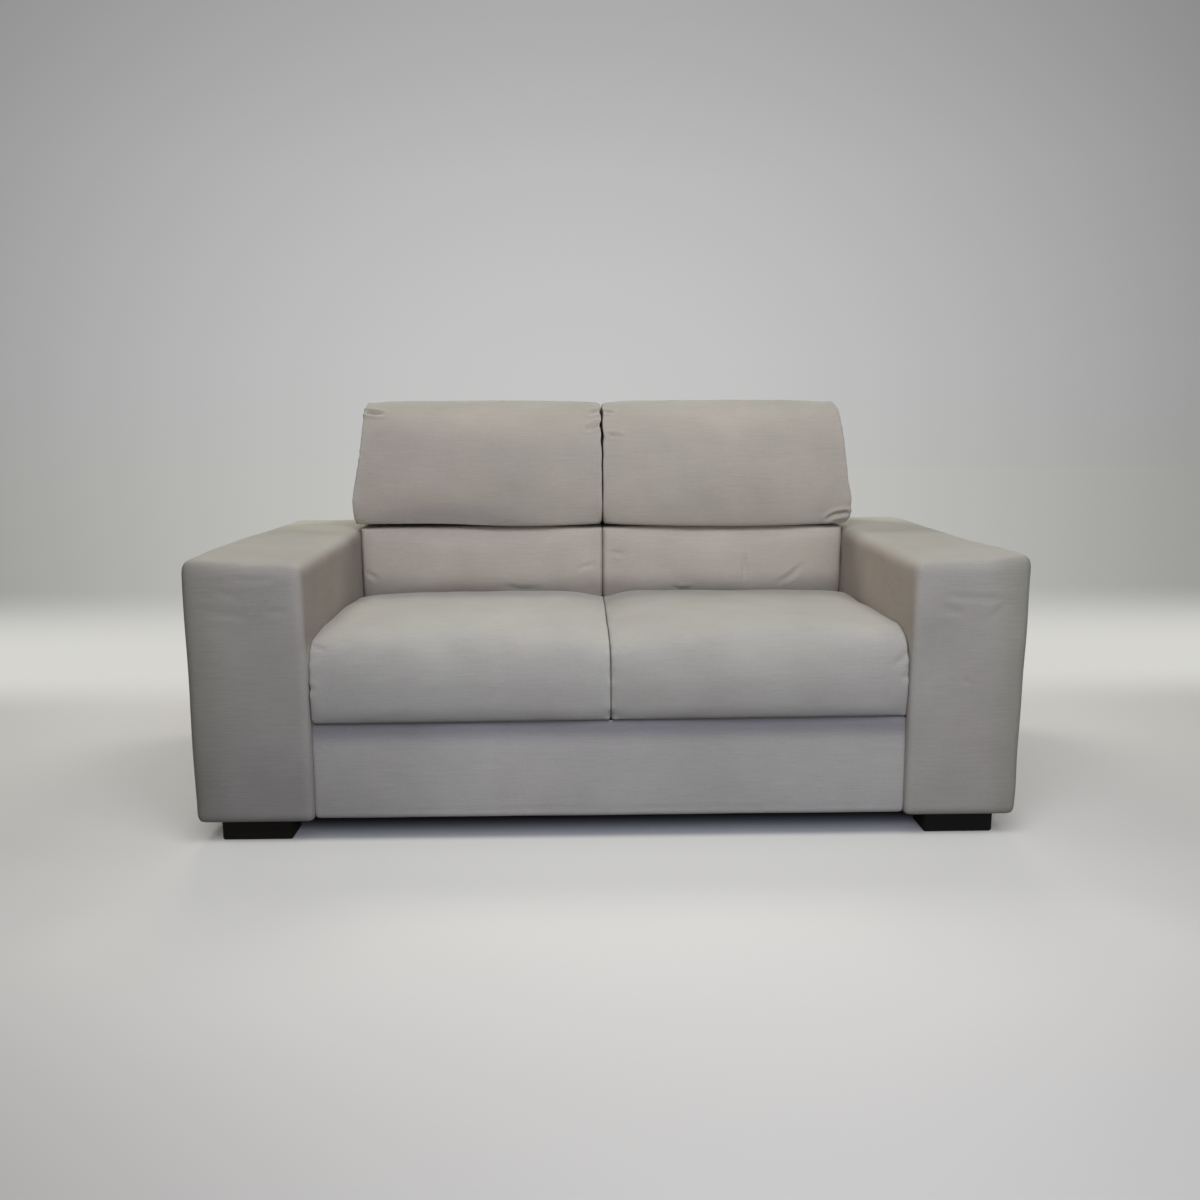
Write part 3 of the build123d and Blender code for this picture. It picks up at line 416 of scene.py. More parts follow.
def make_spunbond_material(name, dark, light):
    """Thin bonded cloth with its pattern of small pressed dots."""
    material, tree, shader, coordinates = new_material(name)
    x, y, _ = split_axes(tree, coordinates)
    dots = product(tree, ribs(tree, x, 0.0035), ribs(tree, y, 0.0035))
    pressed = calculate(tree, "SMOOTH_MAX", dots, 0.0, 0.3)
    fibres = noise(tree, coordinates, 420.0, 4.0, 0.7)
    tone = calculate(tree, "MULTIPLY_ADD", pressed, -0.35, fibres)
    colour = colour_steps(tree, tone, [(0.2, dark), (0.75, light)])
    dress(tree, shader, colour, 0.9, tone, 0.4, 0.0004)
    return material


def make_webbing_material():
    """Elastic webbing, ribbed both ways."""
    material, tree, shader, coordinates = new_material("elastic_webbing")
    x, y, _ = split_axes(tree, coordinates)
    crossing = product(tree, ribs(tree, x, 0.004), ribs(tree, y, 0.004))
    fibres = noise(tree, coordinates, 300.0, 3.0, 0.7)
    tone = calculate(tree, "MULTIPLY_ADD", crossing, 0.18, fibres)
    colour = colour_steps(tree, tone, [(0.25, (0.42, 0.36, 0.25, 1)), (0.8, (0.72, 0.65, 0.5, 1))])
    dress(tree, shader, colour, 0.85, tone, 0.5, 0.0008)
    return material


def make_steel_material():
    """Zinc-plated steel with rolling marks and cloudy plating."""
    material, tree, shader, coordinates = new_material("plated_steel")
    marks = noise(tree, coordinates, (700.0, 60.0, 700.0), 3.0)
    clouds = noise(tree, coordinates, 45.0, 3.0)
    tone = weighted(tree, (clouds, 0.6), (marks, 0.4))
    colour = colour_steps(tree, tone, [(0.25, (0.48, 0.48, 0.50, 1)), (0.8, (0.72, 0.72, 0.73, 1))])
    roughness = calculate(tree, "MULTIPLY_ADD", tone, 0.3, 0.22)
    dress(tree, shader, colour, roughness, marks, 0.15, 0.0002)
    shader.inputs["Metallic"].default_value = 1.0
    return material


# Stage: a floor that fades into the backdrop's horizon and wall, by place in metres
floor_reach = 14.0
floor_colour = (0.84, 0.84, 0.815, 1.0)
floor_bounce_colour = (0.24, 0.24, 0.24, 1.0)
floor_glow_colour = (0.66, 0.66, 0.635, 1.0)
horizon_colour = (0.665, 0.660, 0.630, 1.0)
wall_colour = (0.565, 0.565, 0.545, 1.0)
fade_y = (0.55, 1.05)
wall_y = (1.42, 2.9)
# Beyond this distance the floor fades on every side
fade_reach = 1.6
# The floor's own glow for the eye, which thins the shadow: none under the sofa, some
# beside and behind it, and most in front of it, as (y, share) steps between two ends
side_glow = 0.19
beside_x = (0.80, 0.92)
behind_y = (0.40, 0.52)
glow_ends_y = (-1.6, 0.4)
front_glow_steps = [(-1.50, 0.20), (-1.19, 0.34), (-0.88, 0.47), (-0.55, 0.60), (-0.425, 0.58)]
front_glow_steps += [(-0.405, 0.20), (-0.36, 0.10), (-0.30, 0.0)]
wide_glow_steps = [(-1.50, 0.20), (-1.19, 0.34), (-0.85, 0.45), (-0.60, 0.38), (-0.25, 0.0)]
# Painted shadow: under the sofa the floor is darker and bluer, up to these edges
under_shadow_steps = [(-0.430, 1.0), (-0.400, (0.78, 0.80, 0.85, 1.0)), (-0.365, (0.80, 0.85, 1.00, 1.0))]
under_shadow_steps += [(-0.335, (0.44, 0.46, 0.60, 1.0)), (-0.300, (0.20, 0.20, 0.22, 1.0))]
clear_x = (0.74, 0.81)
clear_y = (0.38, 0.45)
# Painted shade: nearer the front of the picture the floor darkens a little
dimmed_y = (-1.6, -0.75)
dimmed_share = 0.80
# Painted falloff of light: how much the backdrop and the floor darken to both sides, seen from this y
falloff_centre_y = -2.584
wall_falloff = 1.68
floor_falloff = 0.55
least_light = 0.6
# The backdrop's grey by the height of the look, and the even light from all round
wall_steps = [(0.0, wall_colour), (0.243, 0.558), (0.311, 0.539), (0.391, 0.503)]
wall_steps += [(0.458, 0.451), (0.511, 0.413), (1.0, 0.30)]
ambient = (0.068, 0.066, 0.066, 1.0)


def maximum(tree, first, second):
    """The greater of two values."""
    return calculate(tree, "MAXIMUM", first, second)


def side_falloff(tree, across, ahead, amount):
    """1 straight ahead, and less towards both sides."""
    across = product(tree, across, across)
    ahead = maximum(tree, ahead, 0.001)
    share = calculate(tree, "DIVIDE", across, calculate(tree, "MULTIPLY_ADD", ahead, ahead, across))
    return maximum(tree, calculate(tree, "MULTIPLY_ADD", share, -amount, 1.0), least_light)


def mix_shaders(tree, factor, first, second):
    """One Mix Shader node."""
    return add_node(tree, "ShaderNodeMixShader", {0: factor, 1: first, 2: second}).outputs[0]


def shown_as(tree, lit, shown):
    """One shader as light, the other as what is seen, also in gloss and through glass."""
    light_path = add_node(tree, "ShaderNodeLightPath").outputs
    seen = maximum(tree, light_path["Is Camera Ray"], light_path["Is Glossy Ray"])
    return mix_shaders(tree, maximum(tree, seen, light_path["Is Transmission Ray"]), lit, shown)


def make_floor():
    """A pale floor that keeps the shadow and fades into the backdrop."""
    corners = [(floor_reach * x, floor_reach * y, 0) for x, y in ((-1, -1), (1, -1), (1, 1), (-1, 1))]
    floor = make_object("floor", corners, [(0, 1, 2, 3)])
    material, tree, shader, coordinates = new_material("floor_paint")
    x, y, _ = split_axes(tree, coordinates)
    off_centre = calculate(tree, "ABSOLUTE", x)
    distance = calculate(tree, "SQRT", weighted(tree, (x, x), (y, y)))
    outward = maximum(tree, y, calculate(tree, "SUBTRACT", distance, fade_reach))
    beyond = eased(tree, outward, *fade_y)
    at_wall = eased(tree, outward, *wall_y)
    beside = eased(tree, off_centre, *beside_x)
    around = product(tree, maximum(tree, beside, eased(tree, y, *behind_y)), side_glow)
    close, wide, under = (
        steps_along(tree, y, *glow_ends_y, steps)
        for steps in (front_glow_steps, wide_glow_steps, under_shadow_steps)
    )
    glow = maximum(tree, blend_colours(tree, beside, close, wide), around)
    # The painted shadow under the sofa clears beside and behind it
    clear = maximum(tree, eased(tree, off_centre, *clear_x), eased(tree, y, *clear_y))
    under = blend_colours(tree, clear, under, grey(1.0))
    ahead = calculate(tree, "SUBTRACT", y, falloff_centre_y)
    # Painted falloff of light on the floor
    near_light = side_falloff(tree, x, ahead, floor_falloff)
    near_light = product(tree, near_light, eased(tree, y, *dimmed_y, dimmed_share, 1.0))
    near_floor, near_glow = (
        toned(tree, toned(tree, colour, under), near_light)
        for colour in (floor_colour, floor_glow_colour)
    )
    wall_light = side_falloff(tree, x, ahead, wall_falloff)
    far_light = add_node(tree, "ShaderNodeMapRange", {0: at_wall, 3: 1.0, 4: wall_light}).outputs[0]
    far_tone = toned(tree, blend_colours(tree, at_wall, horizon_colour, wall_colour), far_light)
    tree.links.new(near_floor, shader.inputs["Base Color"])
    shader.inputs["Roughness"].default_value = 0.9
    shader.inputs["Specular IOR Level"].default_value = 0.1
    far, glowing = (
        add_node(tree, "ShaderNodeEmission", {"Color": colour}).outputs[0]
        for colour in (far_tone, near_glow)
    )
    bounce = add_node(tree, "ShaderNodeBsdfDiffuse", {"Color": floor_bounce_colour}).outputs[0]
    whole = mix_shaders(tree, beyond, mix_shaders(tree, glow, shader.outputs[0], glowing), far)
    surface = tree.nodes["Material Output"].inputs["Surface"]
    tree.links.new(shown_as(tree, bounce, whole), surface)
    floor.data.materials.append(material)


def make_world():
    """A low even light, and a soft grey wall for what the camera sees."""
    world = bpy.data.worlds.new("studio")
    bpy.context.scene.world = world
    world.use_nodes = True
    tree = world.node_tree
    x, y, z = split_axes(tree, add_node(tree, "ShaderNodeTexCoord").outputs["Generated"])
    wall = colour_steps(tree, calculate(tree, "ADD", z, 0.2), wall_steps)
    wall = toned(tree, wall, side_falloff(tree, x, y, wall_falloff))
    lit = tree.nodes["Background"]
    lit.inputs["Color"].default_value = ambient
    shown = add_node(tree, "ShaderNodeBackground", {"Color": wall})
    mixed = shown_as(tree, lit.outputs[0], shown.outputs[0])
    tree.links.new(mixed, tree.nodes["World Output"].inputs["Surface"])


# Lamps, warm above and behind, cool in front: place, target, size, power and colour
warm_light = (1.0, 0.970, 0.848)
neutral_light = (1.0, 0.975, 0.94)
cool_light = (0.881, 0.872, 1.0)
lamps = {
    "rear_left": ((-1.0, 1.2, 2.6), (-0.2, 0.0, 0.4), (0.8, 0.8), 23.5, warm_light),
    "rear_right": ((1.0, 1.2, 2.6), (0.2, 0.0, 0.4), (0.8, 0.8), 15.4, warm_light),
    "back_left": ((-2.6, 1.8, 1.4), (-0.3, 0.2, 0.4), (1.0, 1.0), 11.6, neutral_light),
    "back_right": ((2.6, 1.8, 1.4), (0.3, 0.2, 0.4), (1.0, 1.0), 11.6, neutral_light),
    "over_seats": ((0.2, -1.2, 1.9), (0.2, 0.1, 0.5), (0.9, 0.7), 9.6, neutral_light),
    "front": ((0.0, -2.6, 2.5), (0.0, 0.0, 0.5), (2.4, 1.4), 39.9, cool_light),
    "front_right": ((0.9, -2.4, 0.9), (0.8, -0.4, 0.3), (0.8, 0.8), 8.45, cool_light),
}


def make_lamp(name, place, target, size, power, colour):
    """A soft rectangular lamp aimed at a point."""
    data = bpy.data.lights.new(name, "AREA")
    data.shape = "RECTANGLE"
    data.size, data.size_y = size
    data.energy = power
    data.color = colour
    lamp = bpy.data.objects.new(name, data)
    lamp.location = place
    aim = Vector(target) - Vector(place)
    lamp.rotation_euler = aim.to_track_quat("-Z", "Y").to_euler()
    bpy.context.collection.objects.link(lamp)


# Meshes as arrays of points
def make_object(name, points, faces, material=None):
    """A smooth mesh object from points and faces."""
    mesh = bpy.data.meshes.new(name)
    mesh.from_pydata([tuple(p) for p in points], [], [list(map(int, f)) for f in faces])
    mesh.update()
    set_smooth(mesh)
    piece = bpy.data.objects.new(name, mesh)
    bpy.context.collection.objects.link(piece)
    if material:
        mesh.materials.append(material)
    return piece


def set_smooth(mesh, smooth=True):
    """Shades all faces smooth, or flat."""
    mesh.polygons.foreach_set("use_smooth", [smooth] * len(mesh.polygons))


def read_points(piece):
    """The object's points and normals, as arrays."""
    mesh = piece.data
    mesh.update()
    points, normals = np.empty((2, len(mesh.vertices) * 3))
    mesh.vertices.foreach_get("co", points)
    mesh.vertex_normals.foreach_get("vector", normals)
    return points.reshape(-1, 3), normals.reshape(-1, 3)


def write_points(piece, points):
    """Puts changed points back."""
    piece.data.vertices.foreach_set("co", np.ascontiguousarray(points).ravel())
    piece.data.update()


def modify(piece, kind, **settings):
    """Adds one modifier and sets its properties."""
    modifier = piece.modifiers.new(kind.lower(), kind)
    for name, value in settings.items():
        setattr(modifier, name, value)
    return modifier


def bake_modifiers(piece):
    """Replaces the object's mesh by its evaluated one, and drops the modifiers."""
    graph = bpy.context.evaluated_depsgraph_get()
    baked = bpy.data.meshes.new_from_object(piece.evaluated_get(graph))
    baked.name = piece.name
    piece.modifiers.clear()
    piece.data = baked
    set_smooth(baked)


def remesh(piece, voxel, rounds):
    """Even small quads over the form, relaxed a little."""
    modify(piece, "REMESH", mode="VOXEL", voxel_size=voxel)
    modify(piece, "SMOOTH", factor=0.5, iterations=rounds)
    bake_modifiers(piece)


def refine(piece):
    """One subdivision, once the form is final."""
    modify(piece, "SUBSURF", levels=1, render_levels=1)
    bake_modifiers(piece)


def open_mesh(piece):
    """The object's mesh, open for editing."""
    mesh = bmesh.new()
    mesh.from_mesh(piece.data)
    return mesh


def close_mesh(piece, mesh):
    """Puts the edited mesh back, its faces turned outwards."""
    bmesh.ops.recalc_face_normals(mesh, faces=mesh.faces)
    mesh.to_mesh(piece.data)
    mesh.free()


def join(piece, other):
    """Adds the other object's mesh to the piece's, and removes the other."""
    mesh = open_mesh(piece)
    mesh.from_mesh(other.data)
    close_mesh(piece, mesh)
    bpy.data.objects.remove(other)


def smooth_step(values, low, high):
    """0 below low, 1 above high, and a smooth turn between."""
    share = np.clip((values - low) / (high - low), 0.0, 1.0)
    return share * share * (3 - 2 * share)


def waves(points, lengths, phase):
    """A smooth, repeatable field of slow waves, about -1 to 1."""
    total = np.zeros(len(points))
    for index, length in enumerate(lengths):
        turn = phase + 1.7 * index
        direction = np.array([math.cos(turn), math.sin(1.3 * turn), math.sin(turn + 0.8)])
        direction /= np.linalg.norm(direction)
        total += np.sin(2 * math.pi * (points @ direction) / length + 5.1 * turn)
    return total / len(lengths)


def path_distance(points, path):
    """Each point's distance to a run of straight lines, and its share along it."""
    path = np.array(path, float)
    lengths = np.linalg.norm(np.diff(path, axis=0), axis=1)
    travelled = np.concatenate([[0.0], np.cumsum(lengths)])
    nearest = np.full(len(points), np.inf)
    share = np.zeros(len(points))
    for start, end, before, length in zip(path[:-1], path[1:], travelled, lengths):
        along = np.clip((points - start) @ (end - start) / length**2, 0.0, 1.0)
        distance = np.linalg.norm(points - start - along[:, None] * (end - start), axis=1)
        closer = distance < nearest
        nearest[closer] = distance[closer]
        share[closer] = (before + along[closer] * length) / travelled[-1]
    return nearest, share


def crease(piece, path, width, depth, lip=0.35):
    """Presses a tapering crease into the surface, with a soft lip beside it."""
    path = [piece.closest_point_on_mesh(Vector(p))[1] for p in path]
    points, normals = read_points(piece)
    distance, share = path_distance(points, path)
    taper = np.sqrt(np.clip(np.sin(math.pi * (0.04 + 0.92 * share)), 0.0, 1.0))
    beside = np.exp(-(((distance - 2.1 * width) / width) ** 2))
    push = lip * beside - np.exp(-((distance / width) ** 2))
    write_points(piece, points + normals * (push * taper * depth)[:, None])


def add_creases(piece, creases):
    """Presses in a table's creases: path, width, depth, and a lip if not the usual."""
    for row in creases:
        crease(piece, *row)


def crease_front(piece, y, creases):
    """Presses in creases whose paths are given as (x, z) places on the face at y."""
    add_creases(piece, [([(x, y, z) for x, z in path], *row) for path, *row in creases])


def facing_front(normals):
    """How far each normal faces the front."""
    return np.clip(-normals[:, 1], 0, 1)


def fall_off(points, centre, radius, shape):
    """1 at a place, fading out over the radius times the shape's three shares."""
    away = (points - np.array(centre)) / np.array(shape)
    return np.exp(-((np.linalg.norm(away, axis=1) / radius) ** 2))


def dent(piece, centre, radius, depth, shape):
    """Presses in a soft round place."""
    points, normals = read_points(piece)
    push = depth * fall_off(points, centre, radius, shape)
    write_points(piece, points - normals * push[:, None])


def sink(piece, centre, radius, drop, shape):
    """Lowers the surface round a place, fading out with distance."""
    points, normals = read_points(piece)
    points[:, 2] -= drop * fall_off(points, centre, radius, shape) * np.clip(normals[:, 2], 0.0, 1.0)
    write_points(piece, points)


def box_grid(low, high, step, closed_below=True):
    """Even quads over a box, with or without its underside."""
    counts = [max(2, round((high[axis] - low[axis]) / step)) for axis in range(3)]
    points, index, quads = [], {}, []

    def corner(key):
        if key not in index:
            index[key] = len(points)
            points.append([low[a] + (high[a] - low[a]) * key[a] / counts[a] for a in range(3)])
        return index[key]

    for axis in range(3):
        across, beyond = (axis + 1) % 3, (axis + 2) % 3
        for end in (0, counts[axis]):
            if axis == 2 and end == 0 and not closed_below:
                continue
            for i in range(counts[across]):
                for j in range(counts[beyond]):
                    quad = []
                    for di, dj in ((0, 0), (1, 0), (1, 1), (0, 1)):
                        key = [0, 0, 0]
                        key[axis], key[across], key[beyond] = end, i + di, j + dj
                        quad.append(corner(tuple(key)))
                    quads.append(quad if end else quad[::-1])
    return np.array(points), quads


def round_edges(points, low, high, low_radii, high_radii):
    """Moves the points of a box grid onto the same box with rounded edges."""
    low, high = np.array(low), np.array(high)
    low_radii = np.broadcast_to(low_radii, points.shape)
    high_radii = np.broadcast_to(high_radii, points.shape)
    core = np.clip(points, low + low_radii, high - high_radii)
    away = points - core
    radii = np.where(away < 0, low_radii, high_radii)
    unit = away / radii
    unit /= np.maximum(np.linalg.norm(unit, axis=1, keepdims=True), 1e-9)
    return core + unit * radii


def padded_box(name, low, high, low_radii, high_radii, cloth):
    """A closed box with rounded edges."""
    points, quads = box_grid(low, high, panel_step)
    return make_object(name, round_edges(points, low, high, low_radii, high_radii), quads, cloth)


def tuck_under(piece, steps):
    """Turns an open lower edge in and up: steps are (inward, upward) in metres."""
    mesh = open_mesh(piece)
    rim = [edge for edge in mesh.edges if edge.is_boundary]
    places = np.array([vertex.co for edge in rim for vertex in edge.verts])
    middle = (places.min(axis=0) + places.max(axis=0)) / 2
    half = (places.max(axis=0) - places.min(axis=0)) / 2
    for inward, upward in steps:
        made = bmesh.ops.extrude_edge_only(mesh, edges=rim)["geom"]
        for vertex in [g for g in made if isinstance(g, bmesh.types.BMVert)]:
            for axis in (0, 1):
                away = vertex.co[axis] - middle[axis]
                pull = min(abs(away), inward * min(1.0, abs(away) / half[axis]) ** 6)
                vertex.co[axis] -= math.copysign(pull, away)
            vertex.co.z += upward
        rim = [g for g in made if isinstance(g, bmesh.types.BMEdge) and g.is_boundary]
    close_mesh(piece, mesh)


# Cushions: a side outline, carried across the width by sections
def arc_points(start, middle, end, step):
    """Points of the round arc through three points, the last one left out."""
    (ax, ay), (bx, by), (cx, cy) = start, middle, end
    d = 2 * (ax * (by - cy) + bx * (cy - ay) + cx * (ay - by))
    a2, b2, c2 = ax * ax + ay * ay, bx * bx + by * by, cx * cx + cy * cy
    ux = (a2 * (by - cy) + b2 * (cy - ay) + c2 * (ay - by)) / d
    uy = (a2 * (cx - bx) + b2 * (ax - cx) + c2 * (bx - ax)) / d
    radius = math.hypot(ax - ux, ay - uy)
    first = math.atan2(ay - uy, ax - ux)
    turn = (math.atan2(cy - uy, cx - ux) - first) % (2 * math.pi)
    if (math.atan2(by - uy, bx - ux) - first) % (2 * math.pi) > turn:
        turn -= 2 * math.pi
    count = max(3, round(abs(turn) * radius / step))
    angles = [first + turn * i / count for i in range(count)]
    return [(ux + radius * math.cos(angle), uy + radius * math.sin(angle)) for angle in angles]


def trace(start, legs, step):
    """Samples a closed outline. A leg is (end,) for a line or (middle, end) for an arc."""
    outline = []
    for *middle, end in legs:
        if middle:
            outline += arc_points(start, middle[0], end, step)
        else:
            (ax, ay), (bx, by) = start, end
            count = max(1, round(math.hypot(bx - ax, by - ay) / step))
            shares = [i / count for i in range(count)]
            outline += [(ax + (bx - ax) * share, ay + (by - ay) * share) for share in shares]
        start = end
    return np.array(outline)


def carried(name, outline, middle, stations, level=None):
    """A closed form: the outline carried along x through its sections.

    A station is (x, share of the depth, share of the height at the front and at the
    rear), about the middle. Points at the given level stay there, so that a cushion
    keeps its seat."""
    points, faces = [], []
    count = len(outline)
    at_base = np.zeros(count, bool) if level is None else outline[:, 1] <= level + 1e-6
    rearward = smooth_step(outline[:, 0], outline[:, 0].min() + 0.08, outline[:, 0].max() - 0.25)
    for x, y_share, front_share, rear_share in stations:
        y = middle[0] + (outline[:, 0] - middle[0]) * y_share
        z_share = front_share + (rear_share - front_share) * rearward
        z = middle[1] + (outline[:, 1] - middle[1]) * z_share
        z[at_base] = outline[at_base, 1]
        points += [(x, a, b) for a, b in zip(y, z)]
    for ring in range(len(stations) - 1):
        for i in range(count):
            a, b = ring * count + i, ring * count + (i + 1) % count
            faces.append((a, b, b + count, a + count))
    faces.append(tuple(range(count))[::-1])
    last = (len(stations) - 1) * count
    faces.append(tuple(range(last, last + count)))
    piece = make_object(name, points, faces)
    close_mesh(piece, open_mesh(piece))
    return piece


def even_stations(table, low_x, high_x, side, edge_turn=0.010, end_pull=4.0):
    """Sections at even steps between the table's, with softly turned ends.

    The table's rows are (share of the width, depth share, height share), with a
    second height share where the rear's differs from the front's."""
    columns = zip(*[row if len(row) == 4 else (*row, row[2]) for row in table])
    shares, *tracks = (np.array(column) for column in columns)
    width = high_x - low_x
    ends = [edge_turn * (1 - math.cos(a)) for a in np.radians([0, 30, 55])]
    inner = np.linspace(edge_turn, width - edge_turn, round(width / station_step))
    stations = []
    for place in ends + list(inner) + [width - end for end in ends[::-1]]:
        pull = max(0.0, edge_turn - min(place, width - place))
        inset = edge_turn * (1 - math.sqrt(max(0.0, 1 - (pull / edge_turn) ** 2)))
        keep = 1 - end_pull * inset
        kept = [float(np.interp(place / width, shares, track)) * keep for track in tracks]
        stations.append((side * (low_x + place), *kept))
    return stations


# Cushion filling, by cloth simulation, and how tightly the cushions meet
outline_step = 0.008
station_step = 0.010
side_gap = 0.0003
side_push = 0.006
cushion_voxel = 0.007
swell = 0.012
sim_frames = 20
ease_steps = 30
# The seats' filling is evened out by this share
even_share = 0.5
filling = {
    "quality": 5,
    "use_pressure": True,
    "uniform_pressure_force": 4.0,
    "tension_stiffness": 15,
    "compression_stiffness": 15,
    "shear_stiffness": 5,
    "bending_stiffness": 0.5,
    "vertex_group_mass": "held",
}


def held_share(piece):
    """1 where the form rests on its neighbours, 0 where it swells freely."""
    _, normals = read_points(piece)
    at_sides = smooth_step(np.abs(normals[:, 0]), 0.55, 0.85)
    behind = smooth_step(normals[:, 1], 0.45, 0.8)
    below = smooth_step(-normals[:, 2], 0.45, 0.8)
    return np.maximum(np.maximum(at_sides, behind), below)


def hold(piece, shares):
    """Writes the held shares as the group that the simulation keeps in place."""
    group = piece.vertex_groups.new(name="held")
    for level in np.unique(np.round(shares, 1)):
        members = np.flatnonzero(np.round(shares, 1) == level)
        if level > 0:
            group.add([int(i) for i in members], float(level), "REPLACE")


def draw_in(piece):
    """Draws the free faces in along their normals, so that filling brings them back."""
    shares = held_share(piece)
    points, normals = read_points(piece)
    write_points(piece, points - normals * (swell * (1 - shares))[:, None])
    modify(piece, "SMOOTH", factor=0.5, iterations=1)
    bake_modifiers(piece)
    hold(piece, shares)


def fill(cushions):
    """Fills all cushions together under pressure, and caps how far they move."""
    scene = bpy.context.scene
    starts, even = {}, {}
    for piece in cushions:
        starts[piece], normals = read_points(piece)
        even[piece] = normals * (swell * (1 - held_share(piece)))[:, None]
    for piece in cushions:
        cloth = modify(piece, "CLOTH").settings
        cloth.effector_weights.gravity = 0
        for name, value in filling.items():
            setattr(cloth, name, value)
    for number in range(1, sim_frames + 1):
        scene.frame_set(number)
    for piece in cushions:
        bake_modifiers(piece)
    scene.frame_set(1)
    for piece in cushions:
        moved = read_points(piece)[0] - starts[piece]
        if piece.name.endswith("_seat"):
            moved = moved * (1 - even_share) + even[piece] * even_share
        length = np.linalg.norm(moved, axis=1, keepdims=True)
        capped = moved * np.minimum(1.0, swell / np.maximum(length, 1e-9))
        write_points(piece, starts[piece] + capped)
        piece.vertex_groups.clear()
        hold(piece, held_share(piece))
        smoothing = {"vertex_group": "held", "invert_vertex_group": True}
        modify(piece, "SMOOTH", factor=0.5, iterations=ease_steps, **smoothing)
        bake_modifiers(piece)
        piece.vertex_groups.clear()


def widen(piece, near, far, reach=0.035):
    """Pushes both ends out along x, fading inwards, to meet their neighbours."""
    points, _ = read_points(piece)
    points[:, 0] -= side_push * (1 - smooth_step(points[:, 0] - near, 0.0, reach))
    points[:, 0] += side_push * (1 - smooth_step(far - points[:, 0], 0.0, reach))
    write_points(piece, points)


def hold_between(piece, low, high, softness):
    """Presses the form flat where it meets a neighbour, softly. None leaves a side free."""
    points, _ = read_points(piece)
    for axis in range(3):
        for limit, inward in ((low[axis], softness), (high[axis], -softness)):
            if limit is not None:
                past = (limit + inward - points[:, axis]) * math.copysign(1, inward)
                pressed = limit + inward * np.exp(-np.maximum(past, 0) / softness)
                points[:, axis] = np.where(past > 0, pressed, points[:, axis])
    write_points(piece, points)


def add_waves(piece, lengths, phase, height, share):
    """Soft waves along the normals, as far as a share of them says."""
    points, normals = read_points(piece)
    soft = waves(points, lengths, phase) * height
    write_points(piece, points + normals * (soft * share(normals))[:, None])


# Arms, padded proud of their boards
arm_step = 0.011
arm_top_radius = 0.026
arm_outer_radius = 0.018
arm_outer_top_growth = 0.004
arm_inner_radius = 0.009
arm_front_radius = 0.019
arm_rear_inner_radius = 0.005
arm_foot_radius = 0.006
# How far the padding stands proud: at the front, and outwards at the foot and the top
arm_front_proud = 0.008
arm_flare = {"left": (0.008, 0.009), "right": (0.001, 0.006)}
arm_hem_drop = 0.003
arm_tuck = [(0.004, -0.001), (0.006, 0.001), (0.003, 0.008), (0.001, 0.02)]
# The padding stands higher towards the outer front corner, over this reach in y
corner_rise = 0.011
corner_reach = {"left": (0.35, -0.42), "right": (-0.05, -0.42)}
# Shallow wrinkles near the arm tops: (x, z) path, width and depth
wrinkle_y = -0.458
wrinkles = {
    "left": [
        ([(-0.735, 0.551), (-0.700, 0.546), (-0.652, 0.548)], 0.006, 0.0011),
        ([(-0.795, 0.486), (-0.760, 0.479), (-0.715, 0.476)], 0.007, 0.0010),
        ([(-0.665, 0.480), (-0.635, 0.486)], 0.006, 0.0012),
        ([(-0.760, 0.520), (-0.722, 0.514)], 0.006, 0.0010),
    ],
    "right": [
        ([(0.668, 0.503), (0.715, 0.500), (0.783, 0.500)], 0.006, 0.0013),
        ([(0.742, 0.455), (0.765, 0.478), (0.786, 0.495)], 0.006, 0.0013),
        ([(0.655, 0.480), (0.690, 0.474)], 0.007, 0.0014),
        ([(0.700, 0.336), (0.716, 0.330)], 0.005, 0.0014),
    ],
}


